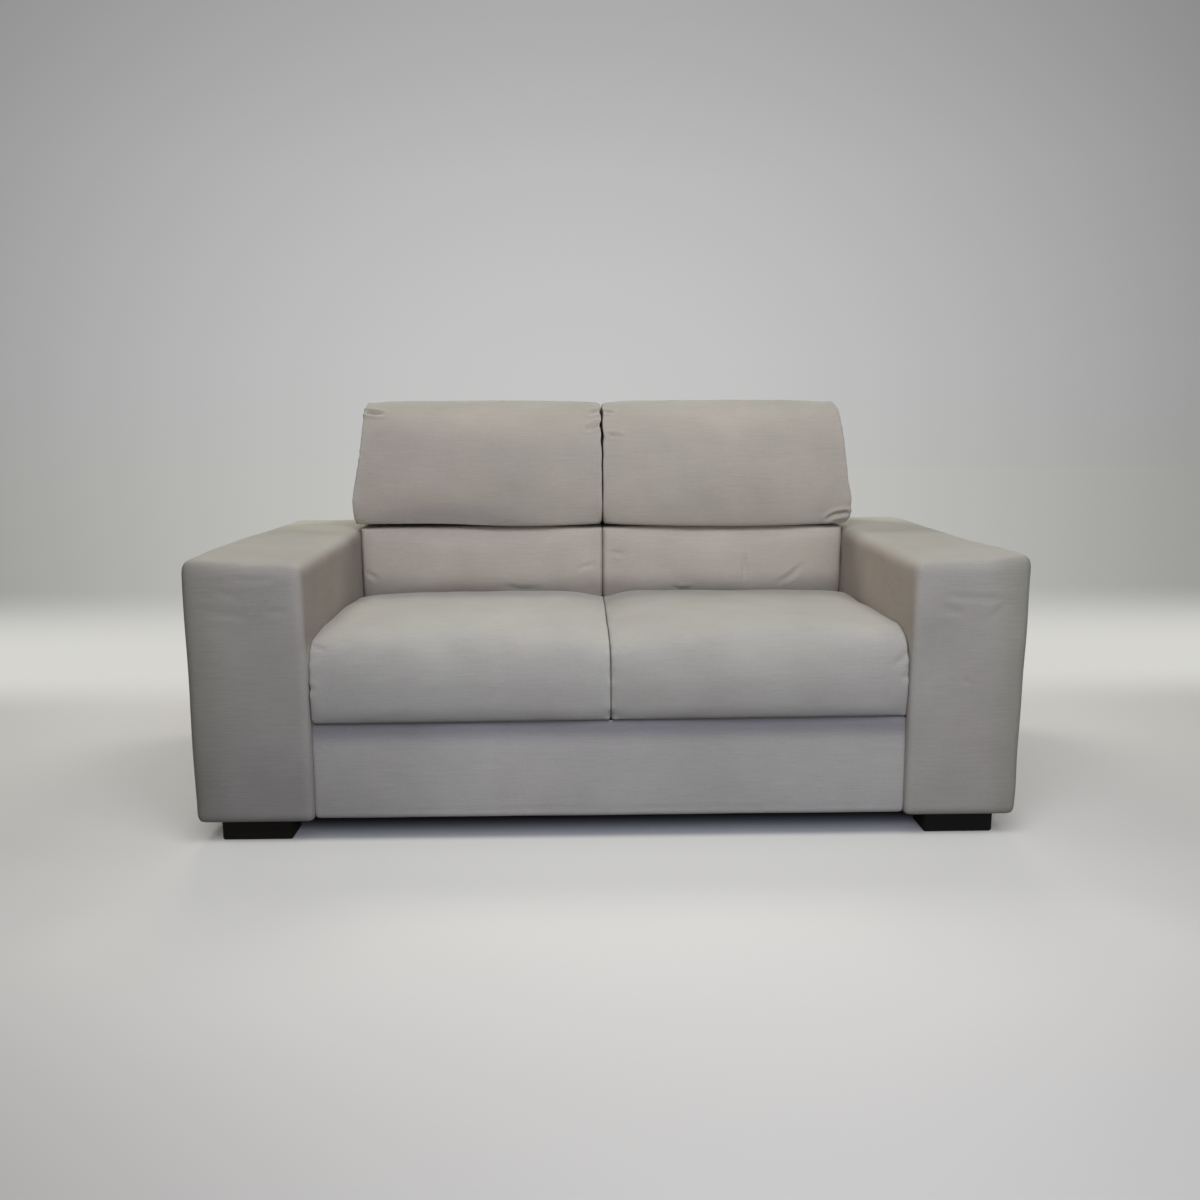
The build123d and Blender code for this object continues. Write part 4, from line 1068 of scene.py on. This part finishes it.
def make_arm(side_name, cloth):
    """A padded box, open below, whose cloth turns in under the boards."""
    side = sides[side_name]
    node = "arm_cover_" + side_name
    low, high = (np.array(corner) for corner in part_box(node))
    low[0], high[0] = inner_x, outer_x = sorted((abs(low[0]), abs(high[0])))
    points, quads = box_grid(low, high, arm_step, closed_below=False)
    near_top = smooth_step(points[:, 2], high[2] - 0.12, high[2] - 0.01)
    inner = arm_inner_radius + (arm_top_radius - arm_inner_radius) * near_top
    off_back = smooth_step(points[:, 0], inner_x + 0.02, inner_x + 0.10)
    rear = arm_rear_inner_radius + (arm_front_radius - arm_rear_inner_radius) * off_back
    outer = arm_outer_radius + arm_outer_top_growth * near_top
    even = np.ones(len(points))
    low_radii = np.column_stack([inner, arm_front_radius * even, arm_foot_radius * even])
    high_radii = np.column_stack([outer, rear, arm_top_radius * even])
    points = round_edges(points, low, high, low_radii, high_radii)
    outward = (points[:, 0] - inner_x) / (outer_x - inner_x)
    upward = (points[:, 2] - low[2]) / (high[2] - low[2])
    at_foot, at_top = arm_flare[side_name]
    points[:, 0] += outward * (at_foot + (at_top - at_foot) * upward)
    points[:, 1] -= arm_front_proud * smooth_step(-points[:, 1], -0.05, -low[1])
    points[:, 2] -= arm_hem_drop * (1 - smooth_step(upward, 0.0, 0.2))
    reach_start, reach_full = corner_reach[side_name]
    at_corner = smooth_step(-points[:, 1], -reach_start, -reach_full) * smooth_step(outward, 0.35, 1.0)
    points[:, 2] += corner_rise * at_corner * smooth_step(upward, 0.75, 1.0)
    points[:, 0] *= side
    if side < 0:
        quads = [quad[::-1] for quad in quads]
    piece = make_object(side_name + "_arm", points, quads, cloth)
    tuck_under(piece, arm_tuck)
    refine(piece)
    points, normals = read_points(piece)
    soft = waves(points, (0.31, 0.19, 0.13), 0.6 + side) * 0.0013
    crown = 0.003 * np.cos((points[:, 1] - points[:, 1].mean()) * 3.0)
    push = (soft + crown * np.clip(normals[:, 2], 0, 1)) * smooth_step(points[:, 2], low[2], low[2] + 0.05)
    write_points(piece, points + normals * push[:, None])
    crease_front(piece, wrinkle_y, wrinkles[side_name])
    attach(piece, base_body)
    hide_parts(node)


# Front panel, rear cover and dust cover
panel_step = 0.011
panel_radius = 0.004
# How far the apron and the rear cloth press into the arms' cloth at each end
end_press = 0.0012
# How far the apron stands back under the seats: at its top and at its foot
apron_top_recess = 0.0125
apron_foot_recess = 0.006
hem_height = 0.016
# How far the seats' lower edge, and the apron's top under it, sag at the left end
apron_sag = 0.0065
rear_wall = 0.012
rear_high_radii = (0.004, 0.005, 0.006)
flange_high_radii = (0.004, 0.005, 0.005)
rear_voxel = 0.006
rear_hollow = 0.0015


def sag_at(x):
    """The sag of the line between the seats and the apron, by place."""
    return apron_sag * np.clip((0.6 - x) / 1.2, 0.0, 1.0)


def pressed_box(node):
    """The node's box, reaching into the arms' cloth at both ends."""
    low, high = (np.array(corner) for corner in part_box(node))
    return low - (end_press, 0, 0), high + (end_press, 0, 0)


def make_front_panel(cloth):
    """The padded apron below the seats."""
    low, high = pressed_box("front_panel")
    piece = padded_box("seat_apron", low, high, panel_radius, panel_radius, cloth)
    refine(piece)
    add_waves(piece, (0.42, 0.23, 0.15), 2.2, 0.0014, facing_front)
    points, _ = read_points(piece)
    upward = smooth_step(points[:, 2], low[2] + 0.03, high[2])
    recess = apron_foot_recess + (apron_top_recess - apron_foot_recess) * upward
    points[:, 1] += recess * smooth_step(-points[:, 1], -high[1], -low[1])
    points[:, 2] -= sag_at(points[:, 0]) * smooth_step(points[:, 2], high[2] - 0.08, high[2])
    write_points(piece, points)
    hem = [(x, low[1], low[2] + hem_height) for x in (low[0] + 0.01, high[0] - 0.01)]
    crease(piece, hem, 0.004, 0.0007)
    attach(piece, base_body)
    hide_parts("front_panel")


def make_rear_cover(cloth):
    """The cloth back, stretched over its board, with the top edge turned forward."""
    low, high = pressed_box("rear_cover")
    wall_low = (low[0], high[1] - rear_wall, low[2])
    flange_low = (low[0], low[1], high[2] - rear_wall)
    panel = padded_box("rear_cloth", wall_low, high, panel_radius, rear_high_radii, cloth)
    join(panel, padded_box("flange", flange_low, high, panel_radius, flange_high_radii, cloth))
    remesh(panel, rear_voxel, 2)
    points, normals = read_points(panel)
    along = np.sin(math.pi * (points[:, 0] - low[0]) / (high[0] - low[0]))
    up = np.sin(math.pi * np.clip((points[:, 2] - low[2]) / (high[2] - low[2]), 0, 1))
    soft = waves(points, (0.5, 0.27, 0.17), 4.0) * 0.0012 - rear_hollow * along * up
    write_points(panel, points + normals * (soft * np.clip(normals[:, 1], 0, 1))[:, None])
    panel.data.materials.clear()
    panel.data.materials.append(cloth)
    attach(panel, base_body)
    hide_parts("rear_cover")


# Dust cover: turned in along its edges, stapled, and a little slack in the middle
hem_width = 0.014
hem_drop = 0.0012
fold_reach = 0.0008
cover_sag = 0.0025
cover_step = 0.022
cover_thickness = 0.0006
staple_pitch = 0.075
staple_half = 0.005
staple_wire = 0.0004
staple_leg = 0.0012
staple_bend = 0.0005
# How far from the cover's corners the first and last staples are, across and along
staple_ends_x = (0.045, 0.02)
staple_ends_y = (0.060, 0.03)


def turned_in(value, low, high):
    """Folds what reaches past an edge back under it: the place, and the drop."""
    past = max(low - value, value - high, 0.0)
    place = min(max(value, low), high) + math.copysign(past, (low + high) / 2 - value)
    return place, hem_drop * min(1.0, past / fold_reach)


def cut_places(low, high):
    """Even grid places over the cloth as cut, with rows close to its folds."""
    inner = list(np.linspace(low, high, round((high - low) / cover_step)))
    return [low - hem_width, low - fold_reach] + inner + [high + fold_reach, high + hem_width]


def slack_at(value, low, high):
    """0 at both edges, 1 in the middle."""
    return math.sin(math.pi * np.clip((value - low) / (high - low), 0, 1))


def make_dust_cover(cloth):
    """The thin black cloth under the frame, its edges turned in."""
    low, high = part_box("dust_cover")
    across, along = cut_places(low.x, high.x), cut_places(low.y, high.y)
    points = []
    for x in across:
        for y in along:
            (px, drop_x), (py, drop_y) = turned_in(x, low.x, high.x), turned_in(y, low.y, high.y)
            sag = cover_sag * slack_at(x, low.x, high.x) * slack_at(y, low.y, high.y)
            points.append((px, py, high.z - cover_thickness - drop_x - drop_y - sag))
    count = len(along)
    starts = [i * count + j for i in range(len(across) - 1) for j in range(count - 1)]
    faces = [(a, a + count, a + count + 1, a + 1) for a in starts]
    piece = make_object("dust_cloth", points, faces, cloth)
    modify(piece, "SOLIDIFY", thickness=cover_thickness, offset=0.0)
    bake_modifiers(piece)
    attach(piece, base_body)
    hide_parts("dust_cover")


def staple_places(low, high, ends):
    """Even places along one edge of the cover."""
    return np.arange(low + ends[0], high - ends[1], staple_pitch)


def make_staples(steel):
    """The staples along the dust cover's turned edges."""
    low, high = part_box("dust_cover")
    z = high.z - cover_thickness * 1.5 - hem_drop - staple_wire
    middle = hem_width / 2
    edges_x, edges_y = (low.x + middle, high.x - middle), (low.y + middle, high.y - middle)
    places = [(x, y, 0) for x in staple_places(low.x, high.x, staple_ends_x) for y in edges_y]
    places += [(x, y, 1) for y in staple_places(low.y, high.y, staple_ends_y) for x in edges_x]
    points, faces = [], []
    ring = [(staple_wire * aside, staple_wire * up) for aside, up in ((-1, -1), (1, -1), (1, 1), (-1, 1))]
    bend = staple_half - staple_bend
    steps = [(-staple_half, staple_leg), (-bend, 0.0), (bend, 0.0), (staple_half, staple_leg)]
    for x, y, axis in places:
        first = len(points)
        for shift, rise in steps:
            for aside, up in ring:
                offset = (shift, aside) if axis == 0 else (aside, shift)
                points.append((x + offset[0], y + offset[1], z + rise + up))
        for start in range(first, first + 4 * (len(steps) - 1), 4):
            for i in range(4):
                a, b = start + i, start + (i + 1) % 4
                faces.append((a, b, b + 4, a + 4))
        faces += [tuple(range(first + 3, first - 1, -1)), tuple(range(len(points) - 4, len(points)))]
    piece = make_object("dust_cloth_staples", points, faces, steel)
    close_mesh(piece, open_mesh(piece))
    set_smooth(piece.data, False)
    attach(piece, base_body)


# Seat cushions: an outline from the front's foot over the crown to the rear
corner_share = 1 - math.sqrt(0.5)
seat_low, seat_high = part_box("seat_cushion_right")
seat_level = seat_low.z
seat_base_turn = 0.009
seat_bulge = 0.005
seat_overhang = 0.010
seat_turn = 0.072
seat_face_y = seat_low.y + seat_bulge - seat_overhang
seat_brow_y = seat_face_y + seat_turn
seat_crown = seat_level + 0.178
seat_mid_crown = seat_level + 0.182
seat_shelf = seat_level + 0.1455
seat_step_y = 0.100
seat_shelf_y = 0.138
seat_base_inset = seat_base_turn * corner_share
seat_inset = seat_turn * corner_share
seat_start = (seat_face_y + seat_base_turn, seat_level)
seat_legs = [
    (
        (seat_face_y + seat_base_inset, seat_level + seat_base_inset),
        (seat_face_y, seat_level + seat_base_turn),
    ),
    ((seat_face_y - seat_bulge, seat_level + 0.060), (seat_face_y, seat_crown - seat_turn)),
    ((seat_face_y + seat_inset, seat_crown - seat_inset), (seat_brow_y, seat_crown)),
    (((seat_brow_y + seat_step_y) / 2, seat_mid_crown), (seat_step_y, seat_crown)),
    ((seat_shelf_y, seat_shelf),),
    ((seat_high.y, seat_shelf),),
    ((seat_high.y, seat_level),),
    (seat_start,),
]
inner_seat_sections = [
    (0.0, 0.988, 0.84, 0.890),
    (0.02, 0.995, 0.88, 0.940),
    (0.06, 0.999, 0.925, 0.978),
    (0.12, 1.0, 0.955, 0.997),
    (0.28, 1.0, 0.99, 1.0),
    (0.5, 1.0, 1.0, 1.0),
]
outer_seat_sections = {
    "left": [
        (0.72, 1.0, 0.998, 0.995),
        (0.9, 1.0, 0.98, 0.975),
        (0.97, 0.997, 0.96, 0.95),
        (1.0, 0.99, 0.93, 0.92),
    ],
    "right": [
        (0.72, 1.0, 1.005, 1.0),
        (0.9, 1.0, 1.01, 0.99),
        (0.97, 0.997, 1.005, 0.975),
        (1.0, 0.985, 0.98, 0.955),
    ],
}
seat_creases = {
    "left": [
        ([(-0.597, -0.424, 0.412), (-0.585, -0.432, 0.414), (-0.570, -0.436, 0.414)], 0.005, 0.004),
        ([(-0.597, -0.435, 0.330), (-0.590, -0.444, 0.322)], 0.006, 0.003),
    ],
    "right": [
        ([(0.597, -0.420, 0.400), (0.588, -0.440, 0.380), (0.570, -0.444, 0.368)], 0.007, 0.003),
        ([(0.597, -0.425, 0.345), (0.585, -0.442, 0.338)], 0.006, 0.0025),
    ],
}


def make_seat(side_name, cloth):
    """One seat cushion, drawn in and ready to be filled."""
    outline = trace(seat_start, seat_legs, outline_step)
    middle = ((seat_face_y + seat_high.y) / 2, seat_level)
    sections = inner_seat_sections + outer_seat_sections[side_name]
    stations = even_stations(sections, seat_low.x, seat_high.x, sides[side_name])
    piece = carried(side_name + "_seat", outline, middle, stations, level=seat_level)
    remesh(piece, cushion_voxel, 3)
    draw_in(piece)
    piece.data.materials.append(cloth)
    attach(piece, base_body)
    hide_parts("seat_cushion_" + side_name)
    return piece


def seat_wave_share(normals):
    """How far the seats' waves show: on top and, less, in front."""
    return np.clip(normals[:, 2] + 0.6 * facing_front(normals), 0, 1)


def shape_seat(piece, side_name):
    """Presses the seat against its neighbours and adds its waves, sag, dents and creases."""
    side = sides[side_name]
    near, far = sorted((side * side_gap, side * (seat_high.x + side_gap)))
    widen(piece, near, far)
    low = (near, seat_low.y - seat_overhang, seat_level + 0.0002)
    hold_between(piece, low, (far, seat_high.y, None), softness=0.0025)
    refine(piece)
    add_waves(piece, (0.27, 0.17, 0.11), 1.1 + 2 * side, 0.0016, seat_wave_share)
    points, _ = read_points(piece)
    low_down = 1 - smooth_step(points[:, 2], seat_level, seat_level + 0.08)
    points[:, 2] -= sag_at(points[:, 0]) * low_down * smooth_step(-points[:, 1], 0.36, 0.43)
    write_points(piece, points)
    sink(piece, (0.0, 0.120, 0.415), 0.030, 0.003, (1.0, 1.2, 1.0))
    add_creases(piece, seat_creases[side_name])
    if side_name == "right":
        dent(piece, (0.596, -0.100, 0.432), 0.045, 0.005, (1.0, 1.6, 1.0))


# Lumbar cushions, filled above their tops and pressed flat there for a crisp edge
lumbar_low, lumbar_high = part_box("lumbar_cushion_right")
lumbar_face_y = lumbar_low.y + 0.005
lumbar_turn = 0.010
lumbar_inset = lumbar_turn * corner_share
lumbar_top_y = lumbar_face_y + 0.009
lumbar_top_z = lumbar_high.z + 0.008
lumbar_top_turn = 0.005
lumbar_bulge_z = lumbar_low.z + 0.53 * (lumbar_high.z - lumbar_low.z)
lumbar_start = (lumbar_face_y + lumbar_turn, lumbar_low.z)
lumbar_legs = [
    (
        (lumbar_face_y + lumbar_inset, lumbar_low.z + lumbar_inset),
        (lumbar_face_y, lumbar_low.z + lumbar_turn),
    ),
    ((lumbar_low.y, lumbar_bulge_z), (lumbar_top_y - lumbar_top_turn, lumbar_top_z - lumbar_top_turn)),
    ((lumbar_top_y, lumbar_top_z),),
    ((lumbar_high.y, lumbar_top_z),),
    ((lumbar_high.y, lumbar_low.z),),
    (lumbar_start,),
]
lumbar_half = [(0.0, 0.965, 0.995), (0.02, 0.978, 0.998), (0.07, 0.99, 1.0), (0.25, 0.998, 1.0)]
lumbar_sections = lumbar_half + [(0.5, 1.0, 1.0)]
lumbar_sections += [(1 - share, *shares) for share, *shares in lumbar_half[::-1]]
# The ends turn back at the arm and in the middle: reach, depth, and a groove's reach
# and depth at the very end
lumbar_end_turns = {"arm": (0.032, 0.010, 0.006, 0.008), "middle": (0.014, 0.004, 0.005, 0.008)}
turn_fade = 0.07
# (x, z) paths on the front face, width and depth
lumbar_creases = {
    "left": [
        ([(-0.240, 0.437), (-0.200, 0.428), (-0.160, 0.432)], 0.007, 0.003),
        ([(-0.585, 0.470), (-0.560, 0.458)], 0.006, 0.0025),
        ([(-0.060, 0.480), (-0.020, 0.492)], 0.006, 0.002),
    ],
    "right": [
        ([(0.350, 0.512), (0.352, 0.485), (0.350, 0.455)], 0.005, 0.0035),
        ([(0.175, 0.432), (0.195, 0.424), (0.215, 0.428)], 0.006, 0.004),
        ([(0.440, 0.444), (0.470, 0.462), (0.492, 0.485)], 0.007, 0.003),
        ([(0.020, 0.520), (0.055, 0.516)], 0.006, 0.002),
    ],
}


def turn_back(piece, place, reach, depth, groove_reach, groove_depth):
    """Rounds the front back towards an end, with a narrow groove beside it."""
    points, _ = read_points(piece)
    away = np.abs(points[:, 0] - place)
    back = depth * np.clip(1 - away / reach, 0.0, 1.0) ** 2
    back += groove_depth * np.clip(1 - away / groove_reach, 0.0, 1.0)
    points[:, 1] += back * (1 - smooth_step(points[:, 1], lumbar_low.y, lumbar_low.y + turn_fade))
    write_points(piece, points)


def make_lumbar(side_name, cloth):
    """One lumbar cushion, drawn in and ready to be filled."""
    outline = trace(lumbar_start, lumbar_legs, outline_step)
    middle = (lumbar_high.y, lumbar_low.z)
    stations = even_stations(lumbar_sections, lumbar_low.x, lumbar_high.x, sides[side_name])
    piece = carried(side_name + "_lumbar", outline, middle, stations, level=lumbar_low.z)
    remesh(piece, cushion_voxel, 3)
    draw_in(piece)
    piece.data.materials.append(cloth)
    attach(piece, base_body)
    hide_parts("lumbar_cushion_" + side_name)
    return piece


def shape_lumbar(piece, side_name):
    """Presses the lumbar cushion into its place and adds its creases."""
    side = sides[side_name]
    near, far = sorted((side * side_gap, side * (lumbar_high.x + side_gap)))
    widen(piece, near, far)
    low, high = (near, lumbar_low.y - 0.001, lumbar_low.z), (far, lumbar_high.y, lumbar_high.z)
    hold_between(piece, low, high, softness=0.0025)
    refine(piece)
    add_waves(piece, (0.22, 0.13, 0.09), 3.1 + side, 0.0018, facing_front)
    turn_back(piece, side * lumbar_high.x, *lumbar_end_turns["arm"])
    turn_back(piece, 0.0, *lumbar_end_turns["middle"])
    crease_front(piece, lumbar_face_y, lumbar_creases[side_name])


# Head rests: an outline from the front's foot over the crown to the rear, in shares
# of the depth and the height
head_low, head_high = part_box("headrest_cushion_right")
head_base = lumbar_high.z + 0.003
head_front_y = head_low.y + 0.0016
head_start = (0.177, 0)
head_legs = [
    ((0.041, 0.084), (0, 0.265)),
    ((0.071, 0.621), (0.286, 0.906)),
    ((0.442, 0.984), (0.646, 0.997)),
    ((0.81, 0.99),),
    ((0.956, 0.948), (1, 0.828)),
    ((1, 0.175),),
    ((0.949, 0.078), (0.864, 0)),
    (head_start,),
]
head_sections = [
    (0.0, 0.965, 0.975),
    (0.015, 0.98, 0.99),
    (0.06, 0.993, 0.998),
    (0.28, 1.0, 1.0),
    (0.72, 1.0, 1.0),
    (0.93, 0.993, 1.0),
    (0.985, 0.978, 0.995),
    (1.0, 0.96, 0.99),
]
# The outer edge's distance from the centre line at these heights
head_edge_heights = (0.586, 0.655, 0.700, 0.760, 0.860, 0.900)
head_edges = {
    "left": (0.613, 0.610, 0.601, 0.590, 0.587, 0.585),
    "right": (0.612, 0.612, 0.602, 0.597, 0.594, 0.586),
}
head_gap = 0.0006
lip_drop = 0.003
lip_sag = 0.009
head_top_rise = 0.003
slit_reach = 0.030
notch_height = 0.035
notch_depth = 0.006
slit_wave = 0.0008
slit_wave_length = 0.11
gather_height = 0.012
# Heights of the gathers at the slit, and how far each draws the edge back
slit_gathers = {
    "left": [(0.862, 0.0035), (0.828, 0.005), (0.792, 0.002), (0.735, 0.0015)],
    "right": [(0.855, 0.003), (0.804, 0.0035), (0.760, 0.0015)],
}
head_creases = {
    "left": [
        ([(-0.600, 0.225, 0.852), (-0.575, 0.205, 0.860), (-0.545, 0.195, 0.866)], 0.006, 0.008),
        ([(-0.603, 0.160, 0.760), (-0.580, 0.140, 0.757)], 0.006, 0.004),
        ([(-0.036, 0.175, 0.818), (-0.020, 0.178, 0.824), (-0.003, 0.190, 0.830)], 0.006, 0.005),
        ([(-0.028, 0.205, 0.858), (-0.003, 0.210, 0.862)], 0.006, 0.004),
        ([(-0.616, 0.150, 0.600), (-0.590, 0.135, 0.596)], 0.005, 0.003),
    ],
    "right": [
        ([(0.003, 0.175, 0.802), (0.024, 0.165, 0.801), (0.046, 0.162, 0.802)], 0.005, 0.005),
        ([(0.003, 0.210, 0.862), (0.026, 0.205, 0.860)], 0.005, 0.005),
        (
            [(0.556, 0.125, 0.600), (0.572, 0.126, 0.612), (0.598, 0.135, 0.619), (0.618, 0.150, 0.617)],
            0.005,
            0.006,
            0.7,
        ),
    ],
}


def head_point(shares):
    """A place on the head rests' side, from its shares of the depth and the height."""
    y = head_front_y + shares[0] * (head_high.y - head_front_y)
    return y, head_base + shares[1] * (head_high.z - head_base)


def make_headrest(side_name, cloth):
    """One head rest cushion, drawn in and ready to be filled."""
    legs = [[head_point(shares) for shares in leg] for leg in head_legs]
    outline = trace(head_point(head_start), legs, outline_step)
    ends = head_low.x, head_high.x, sides[side_name]
    stations = even_stations(head_sections, *ends, edge_turn=0.008, end_pull=1.5)
    piece = carried(side_name + "_headrest", outline, head_point((0.5, 0.5)), stations)
    remesh(piece, cushion_voxel, 3)
    points, _ = read_points(piece)
    edge = np.interp(points[:, 2], head_edge_heights, head_edges[side_name])
    points[:, 0] *= 1 + (edge / head_high.x - 1) * np.abs(points[:, 0]) / head_high.x
    write_points(piece, points)
    draw_in(piece)
    piece.data.materials.append(cloth)
    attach(piece, "headrest_" + side_name)
    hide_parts("headrest_cushion_" + side_name)
    return piece


def head_wave_share(normals):
    """How far the head rests' waves show: in front and, less, on top."""
    return np.clip(0.4 * normals[:, 2] - normals[:, 1], 0, 1)


def part_inner_edge(piece, side_name):
    """Draws the inner edge back from the middle: a notch on top, and a wavy slit."""
    points, _ = read_points(piece)
    near = 1 - smooth_step(np.abs(points[:, 0]), 0.0, slit_reach)
    height = points[:, 2]
    notch = smooth_step(height, head_high.z - notch_height, head_high.z) ** 2 * notch_depth
    drawn = slit_wave * (1 + np.sin(2 * math.pi * height / slit_wave_length)) / 2
    for place, depth in slit_gathers[side_name]:
        drawn += depth * np.exp(-(((height - place) / gather_height) ** 2))
    front = smooth_step(-points[:, 1], -0.30, -0.22)
    points[:, 0] += sides[side_name] * (notch + drawn * front) * near
    write_points(piece, points)


def shape_headrest(piece, side_name):
    """Holds the head rest clear of its neighbours and adds gathers and tucks."""
    side = sides[side_name]
    near = side * head_gap
    widen(piece, *sorted((near, float(side))))
    low_x, high_x = (near, None) if side > 0 else (None, near)
    low, high = (low_x, head_front_y - 0.002, head_base), (high_x, head_high.y, head_high.z + 0.003)
    hold_between(piece, low, high, softness=0.004)
    refine(piece)
    add_waves(piece, (0.25, 0.16, 0.1), 5.1 + side, 0.0017, head_wave_share)
    points, _ = read_points(piece)
    across = np.clip(np.abs(points[:, 0]) / head_high.x, 0, 1)
    middle = np.clip(np.sin(math.pi * across), 0, 1) ** 0.7
    low_down = 1 - smooth_step(points[:, 2], head_base + 0.005, head_base + 0.11)
    lip = smooth_step(-points[:, 1], -0.152, -0.135) * low_down
    points[:, 2] -= (lip_drop + lip_sag * middle) * lip
    points[:, 2] += head_top_rise * smooth_step(points[:, 2], head_high.z - 0.08, head_high.z)
    write_points(piece, points)
    part_inner_edge(piece, side_name)
    add_creases(piece, head_creases[side_name])
    if side_name == "left":
        dent(piece, (-0.42, 0.115, 0.592), 0.062, 0.011, (2.6, 1.0, 1.0))


# Heels: a cloth-wrapped roll below each head rest, in bays beside its hinges
heel_centre = (0.350, 0.590)
heel_radius = 0.050
heel_sides = 40
heel_turn = 0.003
heel_step = 0.012
heel_end_shares = (0.94, 0.94, 0.94)
heel_bays = ((0.0012, 0.0245), (0.038, 0.560), (0.5735, 0.589))


def make_heel(side_name, cloth):
    """The cloth-wrapped heel below the head rest, parted at the two hinges."""
    side = sides[side_name]
    turns = 2 * math.pi * np.arange(heel_sides) / heel_sides
    circle = heel_centre + heel_radius * np.column_stack([np.cos(turns), np.sin(turns)])
    bays = []
    for start, end in heel_bays:
        steps = max(2, round((end - start) / heel_step))
        inner = np.linspace(start + heel_turn, end - heel_turn, steps + 1)
        stations = [(side * x, 1.0, 1.0, 1.0) for x in inner]
        stations = [(side * start, *heel_end_shares), *stations, (side * end, *heel_end_shares)]
        bays.append(carried(side_name + "_headrest_heel", circle, heel_centre, stations))
    heel, *others = bays
    for bay in others:
        join(heel, bay)
    heel.data.materials.append(cloth)
    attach(heel, "headrest_" + side_name)
    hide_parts("headrest_cushion_" + side_name)


# Dark and light tones of the hidden materials, and the slot of each CAD node
chipboard_tones = ((0.42, 0.29, 0.16, 1), (0.76, 0.6, 0.4, 1))
hardboard_tones = ((0.2, 0.12, 0.07, 1), (0.4, 0.26, 0.15, 1))
softwood_tones = ((0.55, 0.38, 0.2, 1), (0.82, 0.66, 0.44, 1))
dark_wood_tones = ((0.002, 0.0016, 0.001, 1), (0.008, 0.006, 0.004, 1))
deck_cloth_tones = ((0.05, 0.05, 0.05, 1), (0.14, 0.135, 0.13, 1))
dust_cloth_tones = ((0.008, 0.008, 0.008, 1), (0.03, 0.03, 0.03, 1))
node_slots = {entry["node"]: entry["material_slot"] for entry in frame["record"]["subparts"]}


def make_materials(fabric):
    """The material of each slot."""
    return {
        "fabric": fabric,
        "foam": make_foam_material(),
        "board": make_board_material("chipboard", *chipboard_tones, 260.0),
        "hardboard": make_board_material("hardboard", *hardboard_tones, 900.0),
        "timber": make_wood_material("planed_softwood", *softwood_tones, 0.5, 0.5),
        "webbing": make_webbing_material(),
        "deck_cloth": make_spunbond_material("deck_cloth", *deck_cloth_tones),
        "dust_cloth": make_spunbond_material("dust_cloth", *dust_cloth_tones),
        "dark_wood": make_wood_material("dark_stained_wood", *dark_wood_tones, 0.62, 0.2),
        "steel": make_steel_material(),
    }


def dress_carried_nodes(materials):
    """Gives every CAD node that stays in view the material of its kind."""
    for name, piece in frame["nodes"].items():
        wanted = materials.get(node_slots.get(name))
        if wanted is not None:
            piece.data.materials.clear()
            piece.data.materials.append(wanted)


def main():
    """Builds the whole scene."""
    bpy.context.scene.view_settings.view_transform = "Standard"
    make_camera()
    make_floor()
    make_world()
    for name, lamp in lamps.items():
        make_lamp(name, *lamp)
    cloths = {group: make_cloth_material(group) for group in cloth_light_tints}
    materials = make_materials(cloths["backs"])
    dress_carried_nodes(materials)
    for side_name in sides:
        make_arm(side_name, cloths["arms"])
    make_front_panel(cloths["apron"])
    make_rear_cover(cloths["rear"])
    make_dust_cover(materials["dust_cloth"])
    make_staples(materials["steel"])
    makers = (
        (make_seat, shape_seat, "seats"),
        (make_lumbar, shape_lumbar, "backs"),
        (make_headrest, shape_headrest, "backs"),
    )
    made = [
        (maker(side_name, cloths[group]), shaper, side_name)
        for maker, shaper, group in makers
        for side_name in sides
    ]
    fill([piece for piece, _, _ in made])
    for piece, shaper, side_name in made:
        shaper(piece, side_name)
    for side_name in sides:
        make_heel(side_name, cloths["backs"])


main()
